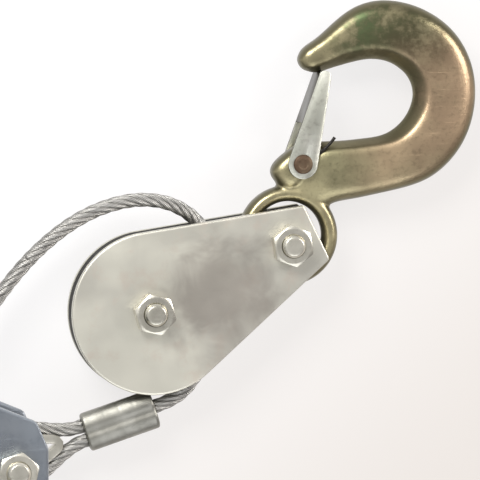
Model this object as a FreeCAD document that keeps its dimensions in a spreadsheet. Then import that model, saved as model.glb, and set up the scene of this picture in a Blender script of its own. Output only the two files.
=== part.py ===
import FreeCAD, Part
import math
import os
import Sketcher

# Come along winch, lying on its side: the drum turns about +Z, +X runs from the drum to the nose of the
# frame, and the origin is the point of the floor under the drum axle. Millimetres and degrees.

Vector = FreeCAD.Vector
Rotation = FreeCAD.Rotation
Placement = FreeCAD.Placement

os.makedirs("parts", exist_ok=True)
doc = FreeCAD.newDocument("come_along_winch")

# Driving dimensions

DIMENSIONS = [
    ("frame_gap", 40.0, "clear width between the frame plates"),
    ("frame_plate_thickness", 5.0, "sheet of the frame plates"),
    ("frame_drum_radius", 37.0, "round side of a frame plate about the drum axle"),
    ("frame_nose_reach", 74.0, "drum axle to nose bolt"),
    ("frame_nose_front", 11.0, "nose bolt to the flat front edge"),
    ("frame_nose_half_width", 9.0, "half of the flat front edge"),
    ("frame_cheek_half_width", 17.5, "half width where the nose taper begins"),
    ("frame_shoulder_x", 30.0, "drum axle to the round shoulders, along the frame"),
    ("frame_shoulder_radius", 12.0, "round shoulders of a frame plate"),
    ("frame_rear_reach", 48.0, "drum axle to rear bolt"),
    ("frame_rear_radius", 14.0, "round rear end of a frame plate"),
    ("tie_x", 50.0, "tie bolt ahead of the drum axle"),
    ("tie_y", -14.0, "tie bolt beside the drum axle"),
    ("tie_spacer_radius", 6.0, "tube on a tie bolt"),
    ("bolt_radius", 4.0, "radius of the M8 bolts"),
    ("bolt_flats", 13.0, "width across flats of heads and nuts"),
    ("bolt_head_height", 5.5, "height of a bolt head"),
    ("nut_height", 6.8, "height of a nut"),
    ("bolt_end", 2.4, "bolt end that shows past its nut"),
    ("hole_clearance", 0.2, "radial room of a bolt in its hole"),
    ("running_clearance", 0.06, "radial room of a turning shaft"),
    ("side_clearance", 0.5, "room beside a turning piece"),
    ("axle_radius", 8.0, "drum axle"),
    ("axle_head_radius", 13.0, "foot head of the drum axle"),
    ("axle_head_height", 1.3, "height of the foot head"),
    ("wheel_radius", 29.0, "tips of the ratchet teeth"),
    ("wheel_thickness", 4.0, "thickness of a ratchet wheel"),
    ("tooth_count", 18.0, "teeth of a ratchet wheel"),
    ("tooth_height", 3.5, "depth of a ratchet tooth"),
    ("barrel_radius", 11.0, "drum barrel"),
    ("rope_radius", 2.5, "wire rope"),
    ("rope_coil_radius", 22.9, "drum axle to the rope of the outer layer"),
    ("rope_pitch", 5.95, "step of the outer layer along the drum"),
    ("rope_quarter_turns", 16.0, "quarter turns of the outer layer"),
    ("arm_thickness", 3.5, "sheet of the handle yoke"),
    ("arm_boss_radius", 15.0, "round end of a yoke arm"),
    ("arm_half_width", 11.0, "half width of a yoke arm at the handle tube"),
    ("arm_bend_start", 70.0, "drum axle to where a yoke arm bends in"),
    ("arm_bend_end", 90.0, "drum axle to where a yoke arm lies on the tube"),
    ("arm_end", 124.0, "drum axle to the end of a yoke arm"),
    ("handle_angle", 140.0, "direction of the handle at rest"),
    ("handle_radius", 12.0, "handle tube"),
    ("handle_wall", 1.6, "wall of the handle tube"),
    ("handle_start", 88.0, "drum axle to the near end of the tube"),
    ("handle_end", 336.0, "drum axle to the far end of the tube"),
    ("grip_radius", 15.0, "rubber grip"),
    ("grip_start", 222.0, "drum axle to the near end of the grip"),
    ("drive_pin_gap", 21.0, "tips of the ratchet teeth to the pin of the drive pawl"),
    ("pawl_pin_radius", 4.0, "pins of both pawls"),
    ("pawl_eye_radius", 8.0, "round end of a pawl about its pin"),
    ("hold_pin_angle", -46.0, "direction of the hold pawl's pin from the axle"),
    ("hold_pin_gap", 10.0, "tips of the ratchet teeth to the pin of the hold pawl"),
    ("rope_eye_angle", 18.5, "direction of the rope eye at rest"),
    ("nose_spacer_radius", 5.5, "tube on the nose bolt"),
    ("thimble_radius", 6.5, "inside of the thimble's round end"),
    ("thimble_wall", 1.2, "sheet of the thimble"),
    ("thimble_flange", 2.2, "height of the thimble's flanges"),
    ("thimble_width", 7.0, "width of the thimble"),
    ("ferrule_start", 29.6, "nose bolt to the near end of the ferrule"),
    ("ferrule_length", 26.0, "length of the ferrule"),
    ("ferrule_lobe_radius", 4.3, "round sides of the ferrule"),
    ("block_x", 125.5, "sheave axle ahead of the drum axle"),
    ("block_y", 51.5, "sheave axle beside the drum axle"),
    ("block_angle", 25.7, "direction of the pulley block at rest"),
    ("block_gap", 11.0, "clear width between the block plates"),
    ("block_plate_thickness", 3.0, "sheet of the block plates"),
    ("block_round_radius", 28.6, "round end of a block plate"),
    ("block_end_reach", 64.3, "sheave axle to the square end"),
    ("block_end_width", 21.6, "width of the square end"),
    ("hook_bolt_margin", 10.3, "hook bolt to the square end of a block plate"),
    ("sheave_radius", 26.0, "rim of the sheave"),
    ("sheave_pitch_radius", 22.5, "sheave axle to the middle of the rope"),
    ("sheave_width", 9.6, "width of the sheave"),
    ("sheave_bush_radius", 7.9, "outside of the bush in the sheave"),
    ("hook_sleeve_radius", 8.5, "tube in the eye of a hook"),
    ("hook_angle", 53.0, "direction of the load hook at rest"),
    ("anchor_angle", 200.0, "direction of the anchor hook at rest"),
    ("hook_eye_hole", 12.0, "hole in the eye of a hook"),
    ("hook_eye_radius", 17.6, "outside of the eye of a hook"),
    ("hook_eye_thickness", 9.8, "thickness of the eye of a hook"),
    ("hook_thickness", 13.0, "thickness of the body of a hook"),
    ("latch_to_bowl_x", 4.0, "end of the latch to the middle of the bowl, along the hook"),
    ("latch_to_bowl_y", 18.7, "middle of the bowl to the end of the latch, across the hook"),
    ("hook_bowl_radius", 13.9, "inside of the bowl"),
    ("hook_chamfer", 2.6, "bevel along the edges of a hook"),
    ("latch_pivot_x", 22.8, "eye to the latch pin, along the hook"),
    ("latch_pivot_y", 11.6, "eye to the latch pin, across the hook"),
    ("latch_reach", 31.6, "latch pin to the end of the latch"),
    ("latch_angle", 22.5, "direction of the latch from the hook's own"),
    ("latch_sheet", 1.2, "sheet of the latch"),
    ("latch_ear_radius", 5.2, "round ear of the latch"),
    ("latch_pin_radius", 2.2, "latch pin"),
]

sheet = doc.addObject("Spreadsheet::Sheet", "sizes")
for row, (alias, number, meaning) in enumerate(DIMENSIONS, start=1):
    sheet.set(f"A{row}", meaning)
    sheet.set(f"B{row}", str(number))
    sheet.setAlias(f"B{row}", alias)
doc.recompute()
size = {alias: float(sheet.get(alias)) for alias, number, meaning in DIMENSIONS}

# Heights above the floor that several pieces share

block_middle = size["bolt_head_height"] + size["block_plate_thickness"] + size["block_gap"] / 2
block_top = block_middle + size["block_gap"] / 2 + size["block_plate_thickness"]
frame_underside = size["bolt_head_height"]
frame_floor = frame_underside + size["frame_plate_thickness"]
frame_ceiling = frame_floor + size["frame_gap"]
frame_top = frame_ceiling + size["frame_plate_thickness"]
frame_middle = (frame_floor + frame_ceiling) / 2
stack_gap = 0.4
arm_underside = frame_underside - stack_gap - size["arm_thickness"]
arm_top = frame_top + stack_gap + size["arm_thickness"]
wheel_bottom = frame_floor + size["side_clearance"]
wheel_top = frame_ceiling - size["side_clearance"]
bolt_hole = size["bolt_radius"] + size["hole_clearance"]
hold_pin_reach = size["wheel_radius"] + size["hold_pin_gap"]
drive_pin_reach = size["wheel_radius"] + size["drive_pin_gap"]
hook_bolt_reach = size["block_end_reach"] - size["hook_bolt_margin"]

subparts = []


def keep(thing, label, placement=None):
    """Name a finished sub-part, put it in its place and list it for export."""
    thing.Label = label
    if placement is not None:
        thing.Placement = placement
    subparts.append(thing)
    return thing


def placed(x, y, angle=0.0, z=0.0):
    return Placement(Vector(x, y, z), Rotation(Vector(0, 0, 1), angle))


def polar(radius, angle):
    return radius * math.cos(math.radians(angle)), radius * math.sin(math.radians(angle))


# Outlines

def belt(rollers):
    """A closed outline like a belt round rollers (x, y, radius, turn): turn is 1 where the belt goes round
    its roller counter-clockwise and -1 where it goes clockwise, and a roller of radius 0 is a sharp corner."""
    runs = []
    for (x0, y0, r0, t0), (x1, y1, r1, t1) in zip(rollers, rollers[1:] + rollers[:1]):
        reach = math.hypot(x1 - x0, y1 - y0)
        heading = math.atan2(y1 - y0, x1 - x0) - math.asin((t1 * r1 - t0 * r0) / reach)
        left = Vector(-math.sin(heading), math.cos(heading), 0)
        runs.append((Vector(x0, y0, 0) - left * (t0 * r0), Vector(x1, y1, 0) - left * (t1 * r1), heading))
    edges = []
    for index, (x, y, radius, turn) in enumerate(rollers):
        arrival = runs[index - 1]
        departure = runs[index]
        if radius > 0:
            centre = Vector(x, y, 0)
            sweep = (turn * (departure[2] - arrival[2])) % (2 * math.pi)
            spoke = arrival[1] - centre
            start = math.atan2(spoke.y, spoke.x)
            halfway = start + turn * sweep / 2
            middle = centre + Vector(math.cos(halfway), math.sin(halfway), 0) * radius
            edges.append(Part.Arc(arrival[1], middle, departure[0]))
        edges.append(Part.LineSegment(departure[0], departure[1]))
    return edges


def polygon(points):
    return belt([(x, y, 0, 1) for x, y in points])


def hexagon(x, y, flats, turned=0.0):
    corner = flats / math.sqrt(3)
    return polygon([(x + corner * math.cos(math.radians(60 * i + turned)),
                     y + corner * math.sin(math.radians(60 * i + turned))) for i in range(6)])


def disc(x, y, radius):
    return [Part.Circle(Vector(x, y, 0), Vector(0, 0, 1), radius)]


# Bodies from sketches

def new_body(name):
    return doc.addObject("PartDesign::Body", name)


def sketch_on(body, role, height, outlines):
    """A sketch on one of the body's own origin planes, moved out of it by height."""
    plane = [feature for feature in body.Origin.OriginFeatures if feature.Role == role][0]
    sketch = body.newObject("Sketcher::SketchObject", body.Name + "_sketch")
    sketch.AttachmentSupport = [(plane, "")]
    sketch.MapMode = "FlatFace"
    sketch.AttachmentOffset = Placement(Vector(0, 0, height), Rotation())
    for outline in outlines:
        sketch.addGeometry(outline, False)
    return sketch


def set_size(feature, prop, value):
    """A number is set as it is, and a name is bound to its cell of the sheet."""
    if isinstance(value, str):
        feature.setExpression(prop, "sizes." + value)
    else:
        setattr(feature, prop, value)


def add(body, outlines, bottom, height, role="XY_Plane"):
    """Material from bottom upwards, inside the outer outline and outside the others."""
    pad = body.newObject("PartDesign::Pad", body.Name + "_pad")
    pad.Profile = sketch_on(body, role, bottom, outlines)
    set_size(pad, "Length", height)
    body.Tip = pad
    doc.recompute()
    return pad


def cut(body, outlines, bottom, height, role="XY_Plane"):
    """Takes material away from bottom upwards, and checks that some went."""
    before = body.Shape.Volume
    pocket = body.newObject("PartDesign::Pocket", body.Name + "_pocket")
    pocket.Profile = sketch_on(body, role, bottom, outlines)
    pocket.Reversed = True
    set_size(pocket, "Length", height)
    body.Tip = pocket
    doc.recompute()
    if body.Shape.Volume > before - 0.1:
        raise ValueError(body.Name + ": a pocket cuts nothing")
    return pocket


def bevel(body, width, wanted):
    """Chamfers the edges of the body's last feature that wanted(edge) picks."""
    base = body.Tip
    names = [f"Edge{i}" for i, edge in enumerate(base.Shape.Edges, start=1) if wanted(edge)]
    chamfer = body.newObject("PartDesign::Chamfer", body.Name + "_chamfer")
    chamfer.Base = (base, names)
    set_size(chamfer, "Size", width)
    body.Tip = chamfer
    doc.recompute()
    if chamfer.Shape.isNull() or "Invalid" in chamfer.State:
        raise ValueError(body.Name + ": the bevel failed")
    return chamfer


def lies_at(edge, heights):
    low = edge.BoundBox.ZMin
    high = edge.BoundBox.ZMax
    return high - low < 1e-4 and any(abs(low - level) < 1e-4 for level in heights)


def turned(name, profile):
    """A body of revolution about Z from a closed profile of (radius, height) corners."""
    body = new_body(name)
    revolution = body.newObject("PartDesign::Revolution", name + "_turned")
    sketch = sketch_on(body, "XZ_Plane", 0, [polygon(profile)])
    revolution.Profile = sketch
    revolution.ReferenceAxis = (sketch, ["V_Axis"])
    revolution.Angle = 360
    body.Tip = revolution
    doc.recompute()
    return body


def tube_profile(inner, outer, bottom, top):
    return [(inner, bottom), (outer, bottom), (outer, top), (inner, top)]


# Fasteners

def bolt(label, x, y, place, top, head_turn=0.0):
    """A hexagon bolt that stands on its head on the floor and ends at top."""
    body = new_body(label)
    add(body, [hexagon(x, y, size["bolt_flats"], head_turn)], 0, "bolt_head_height")
    shank = size["bolt_head_height"]
    add(body, [disc(x, y, size["bolt_radius"])], shank, top - shank)
    bevel(body, 0.8, lambda edge: lies_at(edge, [top]))
    return keep(body, label, place)


def nut(label, x, y, place, bottom, turn=0.0):
    body = new_body(label)
    add(body, [hexagon(x, y, size["bolt_flats"], turn), disc(x, y, bolt_hole - 0.05)], bottom, "nut_height")
    return keep(body, label, place)


def ring(name, x, y, inner, outer, bottom, height):
    """A plain tube as a primitive, with its sizes bound where they are names of the sheet."""
    outside = doc.addObject("Part::Cylinder", name + "_outside")
    inside = doc.addObject("Part::Cylinder", name + "_inside")
    set_size(outside, "Radius", outer)
    set_size(inside, "Radius", inner)
    set_size(outside, "Height", height)
    set_size(inside, "Height", height)
    for cylinder in (outside, inside):
        cylinder.Placement = placed(x, y, 0, bottom)
    tube = doc.addObject("Part::Cut", name)
    tube.Base = outside
    tube.Tool = inside
    return tube


def group(label, members, placement=None):
    """Like pieces that share one node, as separate solids."""
    compound = doc.addObject("Part::Compound", label)
    compound.Links = members
    return keep(compound, label, placement)


# Frame

nose_x = size["frame_nose_reach"]
rear_x = -size["frame_rear_reach"]
hold_x, hold_y = polar(hold_pin_reach, size["hold_pin_angle"])
frame_bolts = [
    ("nose", nose_x, 0.0, 8.0),
    ("rear", rear_x, 0.0, 20.0),
    ("tie", size["tie_x"], size["tie_y"], 14.0),
    ("hold_pawl", hold_x, hold_y, 3.0),
]


def frame_plate(label, bottom):
    front = nose_x + size["frame_nose_front"]
    half = size["frame_nose_half_width"]
    cheek = size["frame_cheek_half_width"]
    wide = size["frame_drum_radius"]
    shoulder = size["frame_shoulder_radius"]
    shoulder_x = size["frame_shoulder_x"]
    soft = 1.5
    outline = belt([
        (front - soft, -half + 0.5, soft, 1),
        (front - soft, half - 0.5, soft, 1),
        (front - 5.5, cheek - 2.0, 2.0, 1),
        (shoulder_x, wide - shoulder, shoulder, 1),
        (0, 0, wide, 1),
        (rear_x, 0, size["frame_rear_radius"], 1),
        (1e-3, 0, wide, 1),
        (shoulder_x, shoulder - wide, shoulder, 1),
        (front - 5.5, -cheek + 2.0, 2.0, 1),
    ])
    holes = [disc(x, y, bolt_hole) for name, x, y, turn in frame_bolts]
    holes.append(disc(0, 0, size["axle_radius"] + size["hole_clearance"]))
    body = new_body(label)
    add(body, [outline] + holes, bottom, "frame_plate_thickness")
    return keep(body, label)


frame_plate("frame_plate_lower", frame_underside)
frame_plate("frame_plate_upper", frame_ceiling)

bolt_top = frame_top + size["nut_height"] + size["bolt_end"]
for name, x, y, turn in frame_bolts:
    bolt(name + "_bolt", x, y, None, bolt_top, turn)
    nut(name + "_nut", x, y, None, frame_top, turn + 11)
for name, x, y, turn in (frame_bolts[0], frame_bolts[2]):
    spacer = name + "_spacer"
    keep(ring(spacer, x, y, bolt_hole, spacer + "_radius", frame_floor, "frame_gap"), spacer)

# Rear spool that carries the anchor hook: a sleeve in its eye and a spacer on each side

sleeve_length = size["block_gap"]
spacer_length = (size["frame_gap"] - sleeve_length) / 2
sleeve_bottom = frame_middle - sleeve_length / 2
sleeve_top = frame_middle + sleeve_length / 2
keep(ring("anchor_sleeve", rear_x, 0, bolt_hole, "hook_sleeve_radius", sleeve_bottom, "block_gap"),
     "anchor_sleeve")
anchor_spacer_radius = size["hook_eye_hole"] + 0.3
group("anchor_spacers", [
    ring(f"anchor_spacer_{side}", rear_x, 0, bolt_hole, anchor_spacer_radius, level, spacer_length)
    for side, level in (("low", frame_floor), ("high", sleeve_top))])

# Drum axle with its foot head, and the clip that holds it on top

axle_top = arm_top + 4.2
clip_bottom = arm_top + 0.3
clip_height = 1.6
groove_radius = size["axle_radius"] - 1.2
shaft = size["axle_radius"]
foot = size["axle_head_radius"]
foot_top = size["axle_head_height"]
clip_top = clip_bottom + clip_height
axle = turned("drum_axle", [
    (0, 0), (foot, 0), (foot, foot_top), (shaft, foot_top),
    (shaft, clip_bottom), (groove_radius, clip_bottom), (groove_radius, clip_top), (shaft, clip_top),
    (shaft, axle_top - 1), (shaft - 1, axle_top), (0, axle_top)])
keep(axle, "drum_axle")
clip = new_body("axle_clip")
clip_slot = 2.6
add(clip, [belt([(0, 0, size["axle_radius"] + 3.5, 1), (0, 1e-3, size["axle_radius"] + 3.5, 1)]),
           disc(0, 0, groove_radius + 0.1)], clip_bottom + 0.1, clip_height - 0.2)
cut(clip, [polygon([(0, -clip_slot), (30, -clip_slot), (30, clip_slot), (0, clip_slot)])],
    clip_bottom, clip_height)
keep(clip, "axle_clip")

# Drum: ratchet wheels, barrel and rope

face_angle = -80.6
pitch_angle = 360.0 / size["tooth_count"]


def ratchet_wheel(label, bottom):
    """A disc with saw teeth: one notch with a steep and a sloping side, repeated round the axle."""
    body = new_body(label)
    tip = size["wheel_radius"]
    root = tip - size["tooth_height"]
    add(body, [disc(0, 0, tip), disc(0, 0, size["axle_radius"] + size["running_clearance"])],
        bottom, "wheel_thickness")
    notch = [polar(root, face_angle), polar(tip + 2, face_angle),
             polar(tip + 2, face_angle + pitch_angle * 0.82), polar(tip, face_angle + pitch_angle * 0.82), polar(root + 0.1, face_angle + pitch_angle * 0.22)]
    pocket = cut(body, [polygon(notch)], bottom, size["wheel_thickness"])
    pattern = body.newObject("PartDesign::PolarPattern", label + "_teeth")
    pattern.Originals = [pocket]
    pattern.Axis = (pocket.Profile[0], ["N_Axis"])
    pattern.Angle = 360
    set_size(pattern, "Occurrences", "tooth_count")
    body.Tip = pattern
    doc.recompute()
    return keep(body, label)


ratchet_wheel("ratchet_wheel_lower", wheel_bottom)
ratchet_wheel("ratchet_wheel_upper", wheel_top - size["wheel_thickness"])
barrel_bottom = wheel_bottom + size["wheel_thickness"]
barrel_top = wheel_top - size["wheel_thickness"]
barrel_bore = size["axle_radius"] + size["running_clearance"]
barrel_profile = tube_profile(barrel_bore, size["barrel_radius"], barrel_bottom, barrel_top)
keep(turned("drum_barrel", barrel_profile), "drum_barrel")
rope_core_radius = size["rope_coil_radius"] - size["rope_radius"] - 0.3
keep(turned("rope_core", tube_profile(size["barrel_radius"] + 0.1, rope_core_radius, barrel_bottom + 0.3,
                                      barrel_top - 0.3)), "rope_core")


rope_sides = 6
rope_corner = size["rope_radius"] * math.sqrt(2 * math.pi / (rope_sides * math.sin(2 * math.pi / rope_sides)))


def section_at(point, direction):
    """A closed hexagon round a point, square to direction, with the area of the round rope."""
    side = direction.cross(Vector(0, 0, 1)).normalize()
    up = side.cross(direction).normalize()
    corners = []
    for i in range(rope_sides + 1):
        angle = 2 * math.pi * (i % rope_sides) / rope_sides
        corners.append(point + side * (rope_corner * math.cos(angle)) + up * (rope_corner * math.sin(angle)))
    return Part.makePolygon(corners)


def solid_along(edges, start, direction):
    path = Part.Wire([edge.toShape() for edge in edges])
    return path.makePipeShell([section_at(start, direction)], True, False)


def keep_shape(label, shape, placement=None):
    piece = doc.addObject("Part::Feature", label)
    piece.Shape = shape
    return keep(piece, label, placement)


def arc_from(start, heading, end):
    """The arc that leaves start along heading and ends at end."""
    chord = end - start
    length = chord.Length
    along = chord / length
    across = heading - along * heading.dot(along)
    slant = math.acos(max(-1.0, min(1.0, heading.dot(along))))
    middle = (start + end) / 2 + across.normalize() * (length / 2 * math.tan(slant / 2))
    return Part.Arc(start, middle, end)


def biarc(start, start_heading, end, end_heading):
    """Two arcs that meet smoothly, from start to end with the given headings."""
    chord = end - start
    total = start_heading + end_heading
    spread = 2 * (1 - start_heading.dot(end_heading))
    reach = (math.sqrt(chord.dot(total) ** 2 + spread * chord.dot(chord)) - chord.dot(total)) / spread
    joint = (start + end) / 2 + (start_heading - end_heading) * (reach / 2)
    # the second arc is drawn backwards from its end, then turned round by its three points
    first = arc_from(start, start_heading, joint)
    back = arc_from(end, end_heading * -1, joint)
    middle = back.value((back.FirstParameter + back.LastParameter) / 2)
    return [first, Part.Arc(joint, middle, end)]


def smooth_path(points):
    """Straight runs joined by tangent arcs as large as the runs allow, with the radii that came out."""
    edges = []
    radii = []
    previous = points[0]
    for before, corner, after in zip(points, points[1:], points[2:]):
        back = (before - corner)
        ahead = (after - corner)
        turn = math.pi - back.getAngle(ahead)
        trim = 0.45 * min(back.Length, ahead.Length)
        radius = trim / math.tan(turn / 2)
        radii.append(radius)
        start = corner + back.normalize() * trim
        end = corner + ahead.normalize() * trim
        edges.append(Part.LineSegment(previous, start))
        edges.append(arc_from(start, (corner - start).normalize(), end))
        previous = end
    edges.append(Part.LineSegment(previous, points[-1]))
    return edges, radii


def rope_stretch(label, points):
    edges, radii = smooth_path(points)
    shape = solid_along(edges, points[0], (points[1] - points[0]).normalize())
    length = sum(edge.length() for edge in edges)
    section = math.pi * size["rope_radius"] ** 2
    print(label, "length", round(length, 1), "radii", [round(r, 1) for r in radii],
          "volume over section times length", round(shape.Volume / (section * length), 4))
    return keep_shape(label, shape)


# Outer layer of rope: it climbs from the top of the drum down to where the slack rope leaves

rope_exit_angle = -40.0
coil_radius = size["rope_coil_radius"]
coil_low = barrel_bottom + 1.2 + size["rope_radius"]
quarter_turns = int(round(size["rope_quarter_turns"]))


def coil_point(quarters_back):
    angle = math.radians(rope_exit_angle - 90 * quarters_back)
    return Vector(coil_radius * math.cos(angle), coil_radius * math.sin(angle),
                  coil_low + size["rope_pitch"] * quarters_back / 4)


def coil_heading(quarters_back):
    angle = math.radians(rope_exit_angle - 90 * quarters_back)
    heading = Vector(-math.sin(angle), math.cos(angle), -size["rope_pitch"] / (2 * math.pi * coil_radius))
    return heading.normalize()


def rope_winding():
    stub = 2 * size["rope_radius"]
    first = coil_heading(quarter_turns)
    edges = [Part.LineSegment(coil_point(quarter_turns) - first * stub, coil_point(quarter_turns))]
    for quarter in range(quarter_turns, 0, -1):
        edges += biarc(coil_point(quarter), coil_heading(quarter),
                       coil_point(quarter - 1), coil_heading(quarter - 1))
    last = coil_heading(0)
    edges.append(Part.LineSegment(coil_point(0), coil_point(0) + last * stub))
    shape = solid_along(edges, edges[0].StartPoint, first)
    samples = [coil_point(step / 12) for step in range(quarter_turns * 12 + 1)]
    gaps = [(a - b).Length - 2 * rope_corner for i, a in enumerate(samples) for b in samples[i + 36:]]
    print("rope winding: least gap to itself", round(min(gaps), 3), "mm, turns", quarter_turns / 4)
    keep_shape("rope_winding", shape)
    return edges[-1].EndPoint, last


rope_exit, rope_exit_heading = rope_winding()

# Handle: two yoke arms, tube, grip, bolts

handle_place = placed(0, 0, size["handle_angle"])


def yoke_arm(label, outer_face, side):
    """A flat arm that bends in to the tube: its side view padded across, then trimmed to its plan."""
    thickness = size["arm_thickness"]
    inner_face = outer_face + side * thickness
    seat = frame_middle - side * size["handle_radius"]
    start = size["arm_bend_start"]
    finish = size["arm_bend_end"]
    far = size["arm_end"]
    rear = -size["arm_boss_radius"] - 1
    back = seat - side * thickness
    strip = [(rear, outer_face), (start, outer_face), (finish, back), (far, back), (far, seat),
             (finish + 1, seat), (start + 1, inner_face), (rear, inner_face)]
    half = size["arm_boss_radius"] + 1
    edgewise = new_body(label + "_side")
    add(edgewise, [polygon(strip)], -half, 2 * half, "XZ_Plane")
    plan = new_body(label + "_plan")
    boss = size["arm_boss_radius"]
    narrow = size["arm_half_width"]
    corner = 8.0
    outline = belt([(0, 0, boss, 1), (far - corner, corner - narrow, corner, 1),
                    (far - corner, narrow - corner, corner, 1)])
    holes = [disc(0, 0, size["axle_radius"] + size["running_clearance"]),
             disc(drive_pin_reach, 0, size["pawl_pin_radius"] + size["hole_clearance"])]
    holes += [disc(x, 0, bolt_hole) for x in handle_bolt_x]
    low = min(outer_face, seat) - 10
    add(plan, [outline] + holes, low, abs(seat - outer_face) + 20)
    arm = doc.addObject("Part::MultiCommon", label)
    arm.Shapes = [edgewise, plan]
    return keep(arm, label, handle_place)


handle_bolt_x = [size["arm_bend_end"] + 9.0, size["arm_end"] - 9.0]
yoke_arm("yoke_arm_lower", arm_underside, 1)
yoke_arm("yoke_arm_upper", arm_top, -1)

tube_outer = size["handle_radius"]
tube = new_body("handle_tube")
add(tube, [disc(0, frame_middle, tube_outer), disc(0, frame_middle, tube_outer - size["handle_wall"])],
    size["handle_start"], size["handle_end"] - size["handle_start"], "YZ_Plane")
cut(tube, [disc(x, 0, bolt_hole) for x in handle_bolt_x], frame_middle - 20, 40)
keep(tube, "handle_tube", handle_place)


def handle_bolt(index, x):
    low = frame_middle - tube_outer - size["arm_thickness"]
    high = frame_middle + tube_outer + size["arm_thickness"]
    body = new_body(f"handle_bolt_{index}")
    head = size["bolt_head_height"]
    add(body, [hexagon(x, 0, size["bolt_flats"], 7 * index)], low - head, "bolt_head_height")
    add(body, [disc(x, 0, size["bolt_radius"])], low, high - low + size["nut_height"] + size["bolt_end"])
    return body


def handle_nut(index, x):
    body = new_body(f"handle_nut_{index}")
    add(body, [hexagon(x, 0, size["bolt_flats"], 25 * index), disc(x, 0, bolt_hole - 0.05)],
        frame_middle + tube_outer + size["arm_thickness"], "nut_height")
    return body


group("handle_bolts", [handle_bolt(i, x) for i, x in enumerate(handle_bolt_x)], handle_place)
group("handle_nuts", [handle_nut(i, x) for i, x in enumerate(handle_bolt_x)], handle_place)

# Grip: a closed rubber sleeve with a collar, turned about the tube


def handle_grip():
    inner = tube_outer + 0.05
    outer = size["grip_radius"]
    start = size["grip_start"]
    end = size["handle_end"] + 3
    profile = [(inner, start), (outer - 1, start), (outer + 1.5, start + 3), (outer, start + 8),
               (outer, end - 4), (outer - 4, end), (0, end), (0, size["handle_end"]), (inner, size["handle_end"])]
    grip = turned("handle_grip", profile)
    lay_down = Rotation(Vector(0, 1, 0), 90)
    place = handle_place.multiply(Placement(Vector(0, 0, frame_middle), lay_down))
    return keep(grip, "handle_grip", place)


handle_grip()

# Pawls: a toothed bar for both ratchet wheels, open in the middle for the rope


def pawl_outline(pivot, tip_angle, lift, side):
    """Plan of a pawl at rest: a round eye, and a point that is lifted off the teeth by lift degrees."""
    rim = size["wheel_radius"]
    engaged = [polar(rim + 0.8, tip_angle + 9.0), polar(rim - size["tooth_height"] + 0.4, tip_angle),
               polar(rim + 5.0, tip_angle)]
    centre = Vector(pivot[0], pivot[1], 0)
    raised = Rotation(Vector(0, 0, 1), lift)
    corners = [(pivot[0], pivot[1], size["pawl_eye_radius"], 1)]
    for x, y in engaged[::side]:
        corner = centre + raised.multVec(Vector(x, y, 0) - centre)
        corners.append((corner.x, corner.y, 0, 1))
    return belt(corners)


def pawl(label, pivot, tip_angle, lift, side, leg_angle):
    """A bar that reaches both ratchet wheels, open in the middle, with a pocket for its spring."""
    body = new_body(label)
    x, y = pivot
    height = wheel_top - wheel_bottom
    bore = disc(x, y, size["pawl_pin_radius"] + size["running_clearance"])
    add(body, [pawl_outline(pivot, tip_angle, lift, side), bore], wheel_bottom, height)
    finger = size["wheel_thickness"] + 1.5
    toe = math.hypot(x, y) - size["pawl_eye_radius"] - 0.3
    cut(body, [disc(0, 0, toe)], wheel_bottom + finger, height - 2 * finger)
    pocket_bottom = frame_middle - spring_height / 2 - 0.5
    pocket_height = spring_height + 1.0
    cut(body, [disc(x, y, spring_outer + 0.4)], pocket_bottom, pocket_height)
    left_x, left_y = polar(14.0, leg_angle + lift + 14.0)
    right_x, right_y = polar(14.0, leg_angle - lift - 14.0)
    cut(body, [polygon([(x, y), (x + right_x, y + right_y), (x + left_x, y + left_y)])],
        pocket_bottom, pocket_height)
    return keep(body, label)


def pawl_spring(label, pivot, leg_angle, foot_level):
    """A coil on the pin, in the pawl's pocket, and a leg that stands on the plate below."""
    body = new_body(label)
    x, y = pivot
    wire = 0.8
    bottom = frame_middle - spring_height / 2
    add(body, [disc(x, y, spring_outer), disc(x, y, size["pawl_pin_radius"] + 0.3)], bottom, spring_height)
    near_x, near_y = polar(size["pawl_pin_radius"] + 1.3, leg_angle)
    far_x, far_y = polar(size["pawl_eye_radius"] + 2.3, leg_angle)
    arm = belt([(x + near_x, y + near_y, wire, 1), (x + far_x, y + far_y, wire, 1)])
    add(body, [arm], bottom, 2 * wire)
    add(body, [disc(x + far_x, y + far_y, wire)], foot_level, bottom + wire - foot_level)
    return keep(body, label)


spring_outer = size["pawl_pin_radius"] + 1.9
spring_height = 5.0

# At rest both pawls are lifted, for free spooling. An engaged tip stands a little ahead of its steep tooth
# face, because it comes in on an arc.

hold_tip_angle = face_angle + 2.6
drive_tip_angle = face_angle + 9 * pitch_angle + 3.2
drive_pin = polar(drive_pin_reach, size["handle_angle"])
hold_lift = 12.0
drive_lift = 13.0
hold_leg_angle = -20.0
pawl("hold_pawl", (hold_x, hold_y), hold_tip_angle, hold_lift, -1, hold_leg_angle)
pawl("drive_pawl", drive_pin, drive_tip_angle, drive_lift, 1, size["handle_angle"])
pawl_spring("hold_pawl_spring", (hold_x, hold_y), hold_leg_angle, frame_floor)
pawl_spring("drive_pawl_spring", drive_pin, size["handle_angle"], arm_underside + size["arm_thickness"])

head = 6.5
pin = size["pawl_pin_radius"]
keep(turned("drive_pawl_pin", [
    (0, 0), (head, 0), (head, arm_underside), (pin, arm_underside), (pin, arm_top),
    (head, arm_top), (head - 0.8, arm_top + 2.4), (0, arm_top + 2.4)]),
    "drive_pawl_pin", placed(*drive_pin))

# Rope eye: thimble, rope loop and ferrule on the nose bolt

eye_place = placed(nose_x, 0, size["rope_eye_angle"])
eye_middle = frame_floor + size["thimble_width"] / 2
thimble_centre = size["thimble_radius"] - size["nose_spacer_radius"] - 0.3
groove_bottom = size["thimble_radius"] + size["thimble_wall"]
loop_radius = groove_bottom + size["rope_radius"] + 0.3
leg_spacing = size["rope_radius"] + 0.15


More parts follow.
